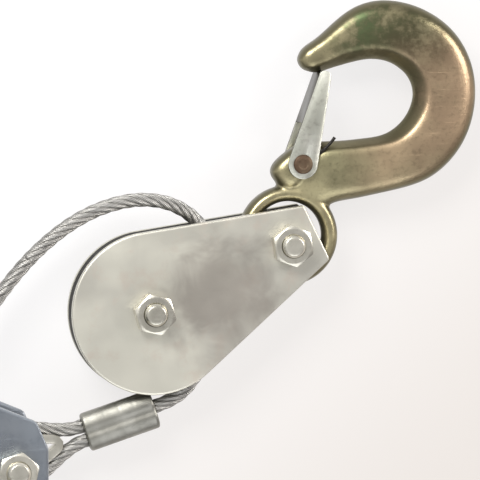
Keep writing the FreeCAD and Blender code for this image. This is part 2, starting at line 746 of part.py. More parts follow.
def teardrop(radius, point_x, point_radius):
    return belt([(thimble_centre, 0, radius, 1), (point_x, 0, point_radius, 1)])


def thimble():
    body = new_body("thimble")
    width = size["thimble_width"]
    point = size["ferrule_start"] - 3.0
    inner = teardrop(size["thimble_radius"], point - 9.0, 0.4)
    bottom = eye_middle - width / 2
    flange = 0.9
    web_outline = teardrop(groove_bottom, point - 6.5, 0.5)
    flange_outline = teardrop(groove_bottom + size["thimble_flange"], point - 2.0, 1.2)
    add(body, [web_outline, inner], bottom, "thimble_width")
    add(body, [flange_outline, inner], bottom, flange)
    add(body, [flange_outline, inner], bottom + width - flange, flange)
    return keep(body, "thimble", eye_place)


thimble()


def rope_eye_loop():
    """The rope from the ferrule round the thimble and back: a straight start, a knee, a leg, the arc."""
    start_x = size["ferrule_start"]
    knee_x = start_x - 4.0
    reach = math.hypot(knee_x - thimble_centre, leg_spacing)
    slant = math.atan2(leg_spacing, knee_x - thimble_centre)
    touch = math.degrees(math.acos(loop_radius / reach) + slant)
    top_x, top_y = polar(loop_radius, touch)
    far = Vector(thimble_centre - loop_radius, 0, eye_middle)
    top = Vector(thimble_centre + top_x, top_y, eye_middle)
    bottom = Vector(thimble_centre + top_x, -top_y, eye_middle)
    entry = Vector(start_x, leg_spacing, eye_middle)
    leave = Vector(start_x, -leg_spacing, eye_middle)
    first_leg, radii = smooth_path([entry, Vector(knee_x, leg_spacing, eye_middle), top])
    last_leg, radii = smooth_path([bottom, Vector(knee_x, -leg_spacing, eye_middle), leave])
    edges = first_leg + [Part.Arc(top, far, bottom)] + last_leg
    shape = solid_along(edges, entry, Vector(-1, 0, 0))
    print("rope_eye_loop knees", round(radii[0], 1), "and arc", round(loop_radius, 1))
    return keep_shape("rope_eye_loop", shape, eye_place)


rope_eye_loop()

ferrule = new_body("ferrule")
lobe = size["ferrule_lobe_radius"]
ferrule_outline = belt([(leg_spacing, eye_middle, lobe, 1), (-leg_spacing, eye_middle, lobe, 1)])
add(ferrule, [ferrule_outline], size["ferrule_start"], "ferrule_length", "YZ_Plane")
bevel(ferrule, 0.9, lambda edge: edge.BoundBox.XMax - edge.BoundBox.XMin < 1e-4)
keep(ferrule, "ferrule", eye_place)

# Pulley block: its own X axis runs from the sheave to the hook

block_place = placed(size["block_x"], size["block_y"], size["block_angle"])


def block_plate(label, bottom):
    half = size["block_end_width"] / 2
    end = size["block_end_reach"]
    soft = 1.0
    outline = belt([(0, 0, size["block_round_radius"], 1), (end - soft, -half + soft, soft, 1),
                    (end - soft, half - soft, soft, 1)])
    body = new_body(label)
    add(body, [outline, disc(0, 0, bolt_hole), disc(hook_bolt_reach, 0, bolt_hole)],
        bottom, "block_plate_thickness")
    return keep(body, label, block_place)


block_floor = block_middle - size["block_gap"] / 2
block_plate("block_plate_lower", size["bolt_head_height"])
block_plate("block_plate_upper", block_floor + size["block_gap"])
block_bolt_top = block_top + size["nut_height"] + size["bolt_end"]
for name, x, turn in (("sheave", 0.0, 12.0), ("hook", hook_bolt_reach, 4.0)):
    bolt(name + "_bolt", x, 0, block_place, block_bolt_top, turn)
    nut(name + "_nut", x, 0, block_place, block_top, turn + 9)
sheave_bush = ring("sheave_bush", 0, 0, bolt_hole, "sheave_bush_radius", block_floor, "block_gap")
keep(sheave_bush, "sheave_bush", block_place)
hook_sleeve = ring("hook_sleeve", hook_bolt_reach, 0, bolt_hole, "hook_sleeve_radius", block_floor,
                   "block_gap")
keep(hook_sleeve, "hook_sleeve", block_place)


def sheave():
    """A wheel with a rope groove of three flats, turned about the bolt."""
    half = size["sheave_width"] / 2
    rim = size["sheave_radius"]
    bore = size["sheave_bush_radius"] + size["running_clearance"]
    profile = [(bore, -half), (rim, -half), (rim, -half + 1.0)]
    for angle in (-72, -24, 24, 72):
        cup_x, cup_z = polar(size["rope_radius"] + 0.6, angle)
        profile.append((size["sheave_pitch_radius"] - cup_x, cup_z))
    profile += [(rim, half - 1.0), (rim, half), (bore, half)]
    wheel = turned("sheave", profile)
    return keep(wheel, "sheave", placed(size["block_x"], size["block_y"], size["block_angle"], block_middle))


sheave()

# Rope: slack from the drum to the sheave, round the sheave, and on to the ferrule

sheave_in_angle = -31.0
sheave_out_angle = -42.0


def on_sheave(angle):
    x, y = polar(size["sheave_pitch_radius"], angle)
    return block_place.multVec(Vector(x, y, block_middle))


def sheave_heading(angle):
    x, y = polar(1.0, angle - 90)
    return block_place.Rotation.multVec(Vector(x, y, 0))


reach_in = on_sheave(sheave_in_angle)
reach_out = on_sheave(sheave_out_angle)


def beside_block(x, y, z):
    """A point of the route, x and y from the middle of the sheave and z above the floor."""
    return Vector(size["block_x"] + x, size["block_y"] + y, z)


slack_joint = beside_block(-43.1, 18.95, 15.9)
slack_rear = [
    rope_exit + rope_exit_heading * 0.05,
    rope_exit + rope_exit_heading * 24.0,
    Vector(54.0, 31.2, 17.4),
    beside_block(-56.4, 2.9, 16.6),
    beside_block(-47.5, 14.4, 16.1),
    slack_joint,
]
slack_front = [
    slack_joint,
    beside_block(-38.7, 23.5, 15.7),
    beside_block(-28.6, 31.4, 15.3),
    beside_block(-17.4, 37.1, 14.9),
    beside_block(-5.3, 39.9, 14.6),
    beside_block(5.6, 38.9, 14.3),
    beside_block(13.9, 34.7, 14.1),
    beside_block(19.4, 28.5, 14.0),
    beside_block(22.8, 19.8, 14.0),
    reach_in - sheave_heading(sheave_in_angle) * 11.8,
    reach_in,
]
rope_stretch("rope_slack_rear", slack_rear)
rope_stretch("rope_slack_front", slack_front)
wrap = Part.Arc(reach_in, on_sheave((sheave_in_angle + sheave_out_angle) / 2), reach_out)
keep_shape("rope_on_sheave", solid_along([wrap], reach_in, sheave_heading(sheave_in_angle)))
ferrule_front = size["ferrule_start"] + size["ferrule_length"]
tail = [
    reach_out,
    reach_out + sheave_heading(sheave_out_angle) * 14.0,
    beside_block(12.55, -27.14, block_middle),
    eye_place.multVec(Vector(ferrule_front + 6.24, 0.6, block_middle)),
    eye_place.multVec(Vector(ferrule_front, 0.6, block_middle)),
]
rope_stretch("rope_tail", tail)

# Hooks


def hook_outline():
    """The forging seen square to its plane, without the eye: back, heel, toe, tip, bowl and latch boss."""
    latch_x, latch_y = polar(size["latch_reach"], size["latch_angle"])
    x = size["latch_pivot_x"] + latch_x + size["latch_to_bowl_x"]
    y = size["latch_pivot_y"] + latch_y - size["latch_to_bowl_y"]
    return belt([
        (10.0, 4.7, 0, 1),
        (x + 0.9, y - 7.0, 27.5, 1),
        (x + 2.5, y - 1.0, 33.5, 1),
        (x + 17.0, y + 8.3, 17.5, 1),
        (x - 3.6, y + 26.8, 3.7, 1),
        (x, y, size["hook_bowl_radius"], -1),
        (size["latch_pivot_x"] + 1.2, size["latch_pivot_y"] + 5.4, 3.6, 1),
        (8.0, 14.0, 0, 1),
    ])


def hook(prefix, bolt_x, bolt_y, middle, angle):
    """Eye hook with its sprung latch. The eye hangs on its sleeve, pulled along the hook."""
    place = placed(bolt_x, bolt_y, angle, middle)
    play_x = 2.5
    play_y = 1.9

    def shifted(outline):
        for piece in outline:
            piece.translate(Vector(play_x, play_y, 0))
        return outline

    half = size["hook_thickness"] / 2
    eye_half = size["hook_eye_thickness"] / 2
    body = new_body(prefix + "_hook_bar")
    add(body, [shifted(hook_outline())], -half, "hook_thickness")
    bevel(body, "hook_chamfer", lambda edge: lies_at(edge, [-half, half]))
    room = size["hook_eye_radius"] + 1.0
    cut(body, [disc(play_x, play_y, room)], eye_half, half)
    cut(body, [disc(play_x, play_y, room)], -eye_half - half, half)
    cut(body, [disc(play_x, play_y, size["hook_eye_hole"])], -half, 2 * half)
    eye = new_body(prefix + "_hook_eye")
    add(eye, [disc(play_x, play_y, size["hook_eye_radius"])], -eye_half, "hook_eye_thickness")
    bevel(eye, 1.4, lambda edge: lies_at(edge, [-eye_half, eye_half]))
    cut(eye, [disc(play_x, play_y, size["hook_eye_hole"])], -half, 2 * half)
    pivot_x = size["latch_pivot_x"] + play_x
    pivot_y = size["latch_pivot_y"] + play_y
    cut(body, [disc(pivot_x, pivot_y, size["latch_pin_radius"] + 0.02)], -half, 2 * half)
    leg_depth = 1.9
    spring_radius = 4.8
    cut(body, [disc(pivot_x, pivot_y, spring_radius)], half - leg_depth, leg_depth + 1)
    leg_angle = -13.3
    leg_reach = 14.2
    leg_x, leg_y = polar(leg_reach, leg_angle)
    groove = belt([(pivot_x, pivot_y, 1.0, 1), (pivot_x + leg_x, pivot_y + leg_y, 1.0, 1)])
    cut(body, [groove], half - leg_depth, leg_depth + 1)
    forging = doc.addObject("Part::MultiFuse", prefix + "_hook")
    forging.Shapes = [body, eye]
    keep(forging, prefix + "_hook", place)

    spring = new_body(prefix + "_latch_spring")
    coil = [disc(pivot_x, pivot_y, spring_radius - 0.3),
            disc(pivot_x, pivot_y, size["latch_pin_radius"] + 0.3)]
    add(spring, coil, half - leg_depth, leg_depth - 0.2)
    inner_x, inner_y = polar(size["latch_pin_radius"] + 1.4, leg_angle)
    leg = belt([(pivot_x + inner_x, pivot_y + inner_y, 0.7, 1), (pivot_x + leg_x, pivot_y + leg_y, 0.7, 1)])
    add(spring, [leg], half - leg_depth, 1.5)
    keep(spring, prefix + "_latch_spring", place)

    # the latch is a channel: two cheeks outside the hook and a web that joins them beyond it
    cheek = half + 0.3
    channel = cheek + size["latch_sheet"]
    away = Rotation(Vector(0, 0, 1), size["latch_angle"])
    tip = away.multVec(Vector(size["latch_reach"], 0, 0))
    end_radius = 2.2
    side_view = belt([(pivot_x, pivot_y, size["latch_ear_radius"], 1),
                      (pivot_x + tip.x, pivot_y + tip.y, end_radius, 1)])
    latch = new_body(prefix + "_latch")
    add(latch, [side_view, disc(pivot_x, pivot_y, size["latch_pin_radius"] + size["running_clearance"])],
        -channel, 2 * channel)
    # the inside of the channel, short of the web on the outer side
    web_start = 14.0
    near = [(-9.0, -9.0), (size["latch_reach"] + 9.0, -9.0)]
    slope = (size["latch_ear_radius"] - end_radius) / size["latch_reach"]
    far_web = end_radius - size["latch_sheet"]
    start_web = size["latch_ear_radius"] - slope * web_start - size["latch_sheet"]
    inside = near + [(size["latch_reach"] + 9.0, far_web), (size["latch_reach"], far_web),
                     (web_start, start_web), (web_start, 9.0), (-9.0, 9.0)]
    corners = [away.multVec(Vector(x, y, 0)) for x, y in inside]
    cut(latch, [polygon([(pivot_x + c.x, pivot_y + c.y) for c in corners])], -cheek, 2 * cheek)
    keep(latch, prefix + "_latch", place)

    pin_head = 3.4
    reach = channel + 0.2
    pin_radius = size["latch_pin_radius"]
    latch_pin = turned(prefix + "_latch_pin", [
        (0, -reach - 1), (pin_head - 0.5, -reach - 1), (pin_head, -reach), (pin_radius, -reach),
        (pin_radius, reach), (pin_head, reach), (pin_head - 0.5, reach + 1), (0, reach + 1)])
    keep(latch_pin, prefix + "_latch_pin", place.multiply(Placement(Vector(pivot_x, pivot_y, 0), Rotation())))


hook_bolt_place = block_place.multVec(Vector(hook_bolt_reach, 0, 0))
hook("load", hook_bolt_place.x, hook_bolt_place.y, block_middle, size["hook_angle"])
hook("anchor", rear_x, 0, frame_middle, size["anchor_angle"])

# Checks and export

doc.recompute()
for thing in doc.Objects:
    if "Invalid" in thing.State or "Error" in thing.State:
        raise ValueError("failed: " + thing.Name)
for part in subparts:
    shape = part.Shape
    if shape.isNull() or not shape.isValid():
        raise ValueError("bad shape: " + part.Label)
for part in subparts:
    part.Shape.exportStep("parts/" + part.Label + ".step")
print(len(subparts), "sub-parts")
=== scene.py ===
import math

import bmesh
import bpy
import numpy as np
from mathutils import Matrix, Vector


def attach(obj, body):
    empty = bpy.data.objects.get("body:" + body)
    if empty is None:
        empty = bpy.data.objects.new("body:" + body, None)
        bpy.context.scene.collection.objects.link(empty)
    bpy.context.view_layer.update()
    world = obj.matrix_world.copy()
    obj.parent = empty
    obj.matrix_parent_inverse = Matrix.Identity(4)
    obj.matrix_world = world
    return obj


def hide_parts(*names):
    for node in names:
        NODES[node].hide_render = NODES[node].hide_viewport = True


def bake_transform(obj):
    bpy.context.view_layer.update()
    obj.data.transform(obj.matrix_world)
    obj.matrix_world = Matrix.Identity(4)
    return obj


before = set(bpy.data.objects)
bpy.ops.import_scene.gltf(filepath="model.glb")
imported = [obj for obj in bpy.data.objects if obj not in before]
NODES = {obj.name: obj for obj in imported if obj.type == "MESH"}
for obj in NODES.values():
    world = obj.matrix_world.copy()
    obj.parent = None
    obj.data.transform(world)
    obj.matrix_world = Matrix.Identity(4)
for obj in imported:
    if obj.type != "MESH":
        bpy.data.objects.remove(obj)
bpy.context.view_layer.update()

bl_info = {
    "name": "Come along winch",
    "version": (1, 0, 0),
    "blender": (4, 5, 0),
    "location": "3D View > Sidebar > Winch",
    "description": "Detailed pieces and finishes for a hand lever winch with wire rope, pulley block and hooks",
    "category": "Object",
}

# Places shared with the source of the solids, in millimetres

BLOCK_CENTRE = (125.5, 51.5)
BLOCK_ANGLE = 25.7
BLOCK_MIDDLE = 14.0
HOOK_BOLT_REACH = 54.0
NOSE = (74.0, 0.0)
REAR = (-48.0, 0.0)
EYE_ANGLE = 18.5
EYE_MIDDLE = 0.7
EYE_RADIUS = 10.5
SHEAVE_ROPE_RADIUS = 22.5
HOOK_ANGLE = 53.0
ANCHOR_ANGLE = 200.0
HOOK_PLAY = (2.5, 1.9)
LATCH_PIN = (22.8, 11.6)
HANDLE_ANGLE = 140.0
FRAME_TOP = 55.5
FRAME_MIDDLE = 30.5
PLATES_BOTTOM = 5.5
FRAME_PLATE = 5.0
BLOCK_PLATE = 3.0
BLOCK_TOP = 22.5
AXIS = (0.0, 0.0)
TIE = (50.0, -14.0)


def along(origin, angle, x, y):
    """The point x along and y across the direction angle from origin."""
    a = math.radians(angle)
    return (origin[0] + x * math.cos(a) - y * math.sin(a), origin[1] + x * math.sin(a) + y * math.cos(a))


HOOK_BOLT = along(BLOCK_CENTRE, BLOCK_ANGLE, HOOK_BOLT_REACH, 0.0)
HOLD_PAWL_PIN = along(AXIS, -46.0, 39.0, 0.0)

# Settings


def colour_setting(name, description, default):
    return bpy.props.FloatVectorProperty(name=name, description=description, subtype="COLOR", size=3, min=0.0,
                                         max=1.0, default=default)


def length_setting(name, description, default):
    return bpy.props.FloatProperty(name=name, description=description, default=default, min=0.0, unit="LENGTH",
                                   precision=4)


class WinchStageSettings(bpy.types.PropertyGroup):
    floor_white: colour_setting("Floor, white side", "Colour of the floor at the drum", (0.985, 0.98, 0.985))
    floor_grey: colour_setting("Floor, grey side", "Colour of the floor past the nose", (0.79, 0.745, 0.71))
    frame_width: length_setting("Picture width", "Width that the camera sees at the block", 0.16878)
    camera_distance: length_setting("Camera distance", "From the block to the camera", 1.9)
    key_power: bpy.props.FloatProperty(name="Key light", description="Power of the large soft lamp", default=13.0,
                                       min=0.0, unit="POWER")
    sky_strength: bpy.props.FloatProperty(name="Sky", description="Strength of the soft light all round",
                                          default=0.62, min=0.0)


class WinchRopeSettings(bpy.types.PropertyGroup):
    diameter: length_setting("Diameter", "Diameter of the wire rope", 0.005)
    strands: bpy.props.IntProperty(name="Strands", description="Strands of the rope", default=6, min=3, max=8)
    lay: length_setting("Lay", "Length in which a strand goes once round the rope", 0.027)
    colour: colour_setting("Colour", "Colour of the steel wires", (0.52, 0.51, 0.485))
    # painted shade in the grooves between the wires
    recess: colour_setting("Recess", "Colour between the wires", (0.12, 0.118, 0.11))


class WinchHookSettings(bpy.types.PropertyGroup):
    voxel: length_setting("Weld", "Grain at which bar, eye and boss are welded into one forging", 0.0006)
    gold: colour_setting("Gold", "Main colour of the yellow zinc", (0.44, 0.39, 0.235))
    olive: colour_setting("Olive", "Darker patches", (0.08, 0.072, 0.04))
    green: colour_setting("Green", "Greenish shimmer", (0.11, 0.15, 0.07))
    pink: colour_setting("Pink", "Pink shimmer on the flanks", (0.47, 0.325, 0.215))


class WinchPlateSettings(bpy.types.PropertyGroup):
    zinc: colour_setting("Zinc", "Main colour of the bright plates", (0.69, 0.675, 0.59))
    cloud: colour_setting("Cloud", "Darker clouds on the bright plates", (0.58, 0.565, 0.50))
    blue_zinc: colour_setting("Blue zinc", "Main colour of the frame", (0.36, 0.395, 0.44))
    edge_radius: length_setting("Edge", "Rounding of the plates' rims", 0.0006)


class WinchFastenerSettings(bpy.types.PropertyGroup):
    flats: length_setting("Flats", "Width across the flats of nuts and heads", 0.013)
    bolt_diameter: length_setting("Bolt", "Diameter of the bolts", 0.008)
    thread: length_setting("Thread", "Pitch of the thread", 0.00125)
    colour: colour_setting("Colour", "Colour of the bright zinc", (0.73, 0.705, 0.62))


class WinchHandleSettings(bpy.types.PropertyGroup):
    grip_colour: colour_setting("Grip", "Colour of the rubber grip", (0.022, 0.022, 0.023))
    tube_colour: colour_setting("Tube", "Colour of the handle tube", (0.45, 0.46, 0.47))
    rings: bpy.props.IntProperty(name="Rings", description="Finger rings of the grip", default=9, min=0, max=20)


# Surfaces


def full_turn(steps):
    """Angles once round, with the first direction again at the end."""
    return np.linspace(0.0, 2 * np.pi, steps + 1)


def unit(vectors):
    return vectors / np.linalg.norm(vectors, axis=-1, keepdims=True)


def wheel(angle, first, second):
    """Directions cos a first + sin a second, for every angle and every pair of directions."""
    return np.cos(angle)[:, None] * first[..., None, :] + np.sin(angle)[:, None] * second[..., None, :]


def at_height(plan, height):
    """Points of the plan with a height, one for all or one each."""
    return np.concatenate([plan, np.broadcast_to(height, plan.shape[:-1] + (1,))], -1)


def travelled(points):
    """Distance from the first point to each point, along the line through them."""
    return np.concatenate([[0.0], np.cumsum(np.linalg.norm(np.diff(points, axis=0), axis=1))])


def capped(grid, first, last):
    """A grid whose two ends are each drawn to one point."""
    return np.concatenate([np.broadcast_to(first, grid[:1].shape), grid, np.broadcast_to(last, grid[:1].shape)], 0)


def weave(rows, columns, start):
    """Four corners of every face of a grid whose first point has the number start."""
    i = np.arange(rows - 1)[:, None]
    j = np.arange(columns - 1)[None, :]
    corner = start + i * columns + j
    return np.stack([corner, corner + 1, corner + columns + 1, corner + columns], -1).reshape(-1, 4)


def clean(mesh, weld, flat=None):
    """Welds points that are nearer than weld, joins faces that lie within the angle flat, and turns faces outwards."""
    form = bmesh.new()
    form.from_mesh(mesh)
    bmesh.ops.remove_doubles(form, verts=form.verts, dist=weld)
    if flat is not None:
        bmesh.ops.dissolve_limit(form, angle_limit=math.radians(flat), verts=form.verts, edges=form.edges)
    bmesh.ops.recalc_face_normals(form, faces=form.faces)
    form.to_mesh(mesh)
    form.free()


def make_mesh(name, grids, maps=None):
    """One mesh from grids of points (rows, columns, 3) in millimetres. A grid that closes on itself repeats its first
    row or column, and the repeated points are welded. maps holds a grid of UV values for each grid."""
    points, faces, start = [], [], 0
    for grid in grids:
        rows, columns = grid.shape[:2]
        points.append(grid.reshape(-1, 3))
        faces.append(weave(rows, columns, start))
        start += rows * columns
    points = np.concatenate(points) / 1000.0
    faces = np.concatenate(faces)
    mesh = bpy.data.meshes.new(name)
    mesh.from_pydata(points.tolist(), [], faces.tolist())
    if maps is not None:
        values = np.concatenate([m.reshape(-1, 2) for m in maps])[faces.ravel()]
        mesh.uv_layers.new(name="along").data.foreach_set("uv", values.ravel().astype(np.float32))
    clean(mesh, 1.5e-6)
    return mesh


def add_object(name, data):
    """Puts an object with this data into the scene."""
    item = bpy.data.objects.new(name, data)
    bpy.context.scene.collection.objects.link(item)
    return item


def place(name, mesh, material, body, nodes=(), sharp=32.0):
    """Puts a finished mesh into the scene on its body, in place of the nodes that it stands for. Edges stay hard where
    they turn by more than sharp degrees."""
    mesh.shade_smooth()
    if sharp is not None:
        mesh.set_sharp_from_angle(angle=math.radians(sharp))
    piece = add_object(name, mesh)
    mesh.materials.clear()
    mesh.materials.append(material)
    if body is not None:
        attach(piece, body)
    if nodes:
        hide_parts(*nodes)
    return piece


def dress(node, ending, grids, material, body, sharp=32.0):
    """Makes the surface that stands for a node and places it on its body."""
    name = node + "_" + ending
    return place(name, make_mesh(name, grids), material, body, (node,), sharp)


def rounded(profile, radius, closed=False):
    """A profile with each corner replaced by a short quadratic curve: two points trimmed back from the corner, and
    the blend (1-s)^2 A + 2s(1-s) corner + s^2 B between them."""
    p = np.asarray(profile, float)
    before = np.roll(p, 1, axis=0) - p
    after = np.roll(p, -1, axis=0) - p
    reach_before = np.linalg.norm(before, axis=1, keepdims=True)
    reach_after = np.linalg.norm(after, axis=1, keepdims=True)
    trim = np.minimum(radius, 0.45 * np.minimum(reach_before, reach_after))
    a = p + before / reach_before * trim
    b = p + after / reach_after * trim
    s = np.array([0.0, 0.33, 0.67, 1.0])[None, :, None]
    curve = (1 - s) ** 2 * a[:, None] + 2 * s * (1 - s) * p[:, None] + s ** 2 * b[:, None]
    if closed:
        flat = curve.reshape(-1, p.shape[1])
        return np.vstack([flat, flat[:1]])
    return np.vstack([p[:1], curve[1:-1].reshape(-1, p.shape[1]), p[-1:]])


def turned(profile, centre=(0.0, 0.0, 0.0), steps=72, basis=None):
    """A profile of (radius, height) carried round an axis: centre + radius (cos a, sin a) + height along the axis."""
    p = np.asarray(profile, float)
    basis = np.eye(3) if basis is None else np.asarray(basis, float)
    grid = p[:, 0, None, None] * wheel(full_turn(steps), basis[0], basis[1]) + p[:, 1, None, None] * basis[2]
    return grid + np.asarray(centre, float)


def belt_outline(rollers, count):
    """Outline of a belt round rollers (x, y, radius), and its outward directions. In each direction n the roller with
    the largest centre.n + radius gives the point centre + radius n. The points are then spaced evenly."""
    rollers = np.asarray(rollers, float)
    a = full_turn(1440)
    n = np.stack([np.cos(a), np.sin(a)], -1)
    best = np.argmax(rollers[:, :2] @ n.T + rollers[:, 2:3], axis=0)
    p = rollers[best, :2] + rollers[best, 2:3] * n
    travel = travelled(p)
    s = np.linspace(0.0, travel[-1], count + 1)
    point = np.stack([np.interp(s, travel, p[:, k]) for k in (0, 1)], -1)
    out = np.stack([np.interp(s, travel, n[:, k]) for k in (0, 1)], -1)
    return point, unit(out)


def plate_grid(rollers, bottom, top, edge, origin=(0.0, 0.0), angle=0.0, count=220, burr=0.2):
    """A flat plate: its outline is drawn in by inset_i at height_i, rolled over at the top and nearly square below.
    Both faces are closed by rings drawn to the middle, point + share (middle - point)."""
    point, out = belt_outline(rollers, count)
    rim = np.array([(burr, bottom), (0.0, bottom + burr), (0.0, top - 1.3 * edge), (0.12 * edge, top - 0.62 * edge),
                    (0.45 * edge, top - 0.22 * edge), (0.9 * edge, top - 0.04 * edge), (1.4 * edge, top)])
    grid = at_height(point[None] - rim[:, 0, None, None] * out[None], rim[:, 1, None, None])
    middle = np.append(point[:-1].mean(axis=0), 0.0)
    share = np.array([0.012, 0.03, 0.35, 0.7, 1.0])[:, None, None]
    low = grid[:1] + share[::-1] * (middle + [0.0, 0.0, bottom] - grid[:1])
    high = grid[-1:] + share * (middle + [0.0, 0.0, top] - grid[-1:])
    return moved(np.concatenate([low, grid, high], 0), origin, angle)


def moved(grid, origin, angle, lift=0.0):
    """A grid turned by angle about Z and shifted to origin."""
    a = math.radians(angle)
    turn = np.array([[math.cos(a), math.sin(a), 0.0], [-math.sin(a), math.cos(a), 0.0], [0.0, 0.0, 1.0]])
    return grid @ turn + np.array([origin[0], origin[1], lift])


def smooth_through(points, count):
    """A natural cubic spline through the points, over their summed distances, read at even steps."""
    p = np.asarray(points, float)
    n = len(p)
    t = travelled(p)
    h = np.diff(t)
    system = np.eye(n)
    right = np.zeros_like(p)
    inner = np.arange(1, n - 1)
    system[inner, inner - 1] = h[:-1]
    system[inner, inner] = 2 * (h[:-1] + h[1:])
    system[inner, inner + 1] = h[1:]
    slope = np.diff(p, axis=0) / h[:, None]
    right[inner] = 6 * np.diff(slope, axis=0)
    bend = np.linalg.solve(system, right)
    s = np.linspace(0.0, t[-1], count)
    k = np.clip(np.searchsorted(t, s, side="right") - 1, 0, n - 2)
    left = (s - t[k])[:, None]
    rest = (t[k + 1] - s)[:, None]
    span = h[k][:, None]
    return (bend[k] * rest ** 3 + bend[k + 1] * left ** 3) / (6 * span) \
        + (p[k] / span - bend[k] * span / 6) * rest + (p[k + 1] / span - bend[k + 1] * span / 6) * left


def square_to(path):
    """Two directions at each point of a path, square to it: one level and one upwards."""
    heading = unit(np.gradient(path, axis=0))
    side = unit(np.cross(np.array([0.0, 0.0, 1.0]), heading))
    return side, np.cross(heading, side)


def tube_grid(path, radius, sides=12):
    """A round tube along a path of points: path + radius (cos a side + sin a up), square to the path, with both ends
    closed to a point."""
    path = np.asarray(path, float)
    grid = path[:, None] + radius * wheel(full_turn(sides), *square_to(path))
    return capped(grid, path[:1, None], path[-1:, None])


def dressed_copy(node, ending, material, body, width):
    """A merged copy of a CAD node's mesh with its flat faces joined and its edges bevelled."""
    mesh = NODES[node].data.copy()
    mesh.name = node + "_" + ending
    clean(mesh, 1e-6, 0.6)
    piece = place(mesh.name, mesh, material, body, (node,), sharp=None)
    trim = piece.modifiers.new("edges", "BEVEL")
    trim.width = width
    trim.segments = 2
    trim.limit_method = "ANGLE"
    trim.angle_limit = math.radians(30.0)
    trim.harden_normals = True


# Shader node groups


SOCKET_KINDS = {1: "NodeSocketFloat", 3: "NodeSocketVector", 4: "NodeSocketColor"}
GREY = (0.5, 0.5, 0.5, 1.0)
LOOKING_UP = (0.0, 0.0, 1.0)
UPRIGHT = (1.0, 1.0, 0.0)
made = {}


def add_node(tree, kind, inputs, **settings):
    """A shader node with its settings. Each input, by name or number, takes a value or another node's output."""
    node = tree.nodes.new("ShaderNode" + kind)
    for key, value in settings.items():
        setattr(node, key, value)
    for key, value in inputs.items():
        if isinstance(value, bpy.types.NodeSocket):
            tree.links.new(value, node.inputs[key])
        else:
            node.inputs[key].default_value = value
    return node


def noise_node(tree, coordinate, scale, detail, roughness, distortion=0.0):
    return add_node(tree, "TexNoise", {"Vector": coordinate, "Scale": scale, "Detail": detail, "Roughness": roughness,
                                       "Distortion": distortion}).outputs["Fac"]


def range_node(tree, value, low, high, to_low=0.0, to_high=1.0):
    """A value that eases from to_low at low to to_high at high."""
    return add_node(tree, "MapRange", {"Value": value, "From Min": low, "From Max": high, "To Min": to_low,
                                       "To Max": to_high}, interpolation_type="SMOOTHSTEP").outputs["Result"]


def maths(tree, operation, first, second=0.0):
    return add_node(tree, "Math", {0: first, 1: second}, operation=operation).outputs["Value"]


def vector_maths(tree, operation, vectors, result="Vector"):
    return add_node(tree, "VectorMath", dict(enumerate(vectors)), operation=operation).outputs[result]


def axes_of(tree, vector):
    return add_node(tree, "SeparateXYZ", {"Vector": vector}).outputs


def mix_colours(tree, fac, first, second):
    return add_node(tree, "Mix", {0: fac, 6: first, 7: second}, data_type="RGBA").outputs[2]


def object_point(tree, stretch=(1.0, 1.0, 1.0)):
    """Object coordinates in metres, stretched by three factors."""
    source = add_node(tree, "TexCoord", {}).outputs["Object"]
    return add_node(tree, "Mapping", {"Vector": source, "Scale": stretch}).outputs["Vector"]


def map_point(tree, name):
    return add_node(tree, "UVMap", {}, uv_map=name).outputs["UV"]


def open_group(name, defaults):
    """A new shared effect with one input for each label, of the kind that its default has."""
    group = bpy.data.node_groups.new(name, "ShaderNodeTree")
    for label, default in defaults.items():
        socket = group.interface.new_socket(name=label, in_out="INPUT", socket_type=SOCKET_KINDS[np.size(default)])
        socket.default_value = default
    return group, group.nodes.new("NodeGroupInput").outputs


def close_group(group, results):
    """Hands the results of a shared effect out under their labels."""
    for label in results:
        kind = "NodeSocketColor" if label == "Color" else "NodeSocketFloat"
        group.interface.new_socket(name=label, in_out="OUTPUT", socket_type=kind)
    leave = group.nodes.new("NodeGroupOutput")
    for label, result in results.items():
        group.links.new(result, leave.inputs[label])
    return group


def clouds_group():
    """Large soft clouds, with small flecks over them."""
    group, given = open_group("winch_clouds", {"Cloud Scale": 30.0, "Fleck Scale": 700.0, "Base": GREY, "Cloud": GREY,
                                               "Fleck": GREY, "Fleck Amount": 0.3})
    point = object_point(group)
    cloud = range_node(group, noise_node(group, point, given["Cloud Scale"], 2.5, 0.5, 0.4), 0.38, 0.66)
    fleck = range_node(group, noise_node(group, point, given["Fleck Scale"], 4.0, 0.65), 0.5, 0.72)
    ground = mix_colours(group, cloud, given["Base"], given["Cloud"])
    amount = maths(group, "MULTIPLY", fleck, given["Fleck Amount"])
    return close_group(group, {"Color": mix_colours(group, amount, ground, given["Fleck"])})


def scuffs_group():
    """Fine scratches along two crossing directions, and a fine grain, as a height and as a roughness."""
    group, given = open_group("winch_scuffs", {"Grain Scale": 900.0, "Scratch Amount": 0.5, "Rough Low": 0.25,
                                               "Rough High": 0.45})
    first = noise_node(group, object_point(group, (90.0, 1400.0, 600.0)), 1.0, 2.0, 0.6)
    second = noise_node(group, object_point(group, (1100.0, 120.0, 500.0)), 1.0, 2.0, 0.6)
    scratch = maths(group, "MAXIMUM", range_node(group, first, 0.62, 0.76), range_node(group, second, 0.66, 0.8))
    scratch = maths(group, "MULTIPLY", scratch, given["Scratch Amount"])
    point = object_point(group)
    grain = noise_node(group, point, given["Grain Scale"], 3.0, 0.6)
    broad = noise_node(group, point, 45.0, 3.0, 0.5)
    mixed = maths(group, "ADD", maths(group, "MULTIPLY", broad, 0.7), maths(group, "MULTIPLY", scratch, 0.5))
    return close_group(group, {
        "Roughness": range_node(group, mixed, 0.2, 0.65, given["Rough Low"], given["Rough High"]),
        "Height": maths(group, "SUBTRACT", grain, scratch)})


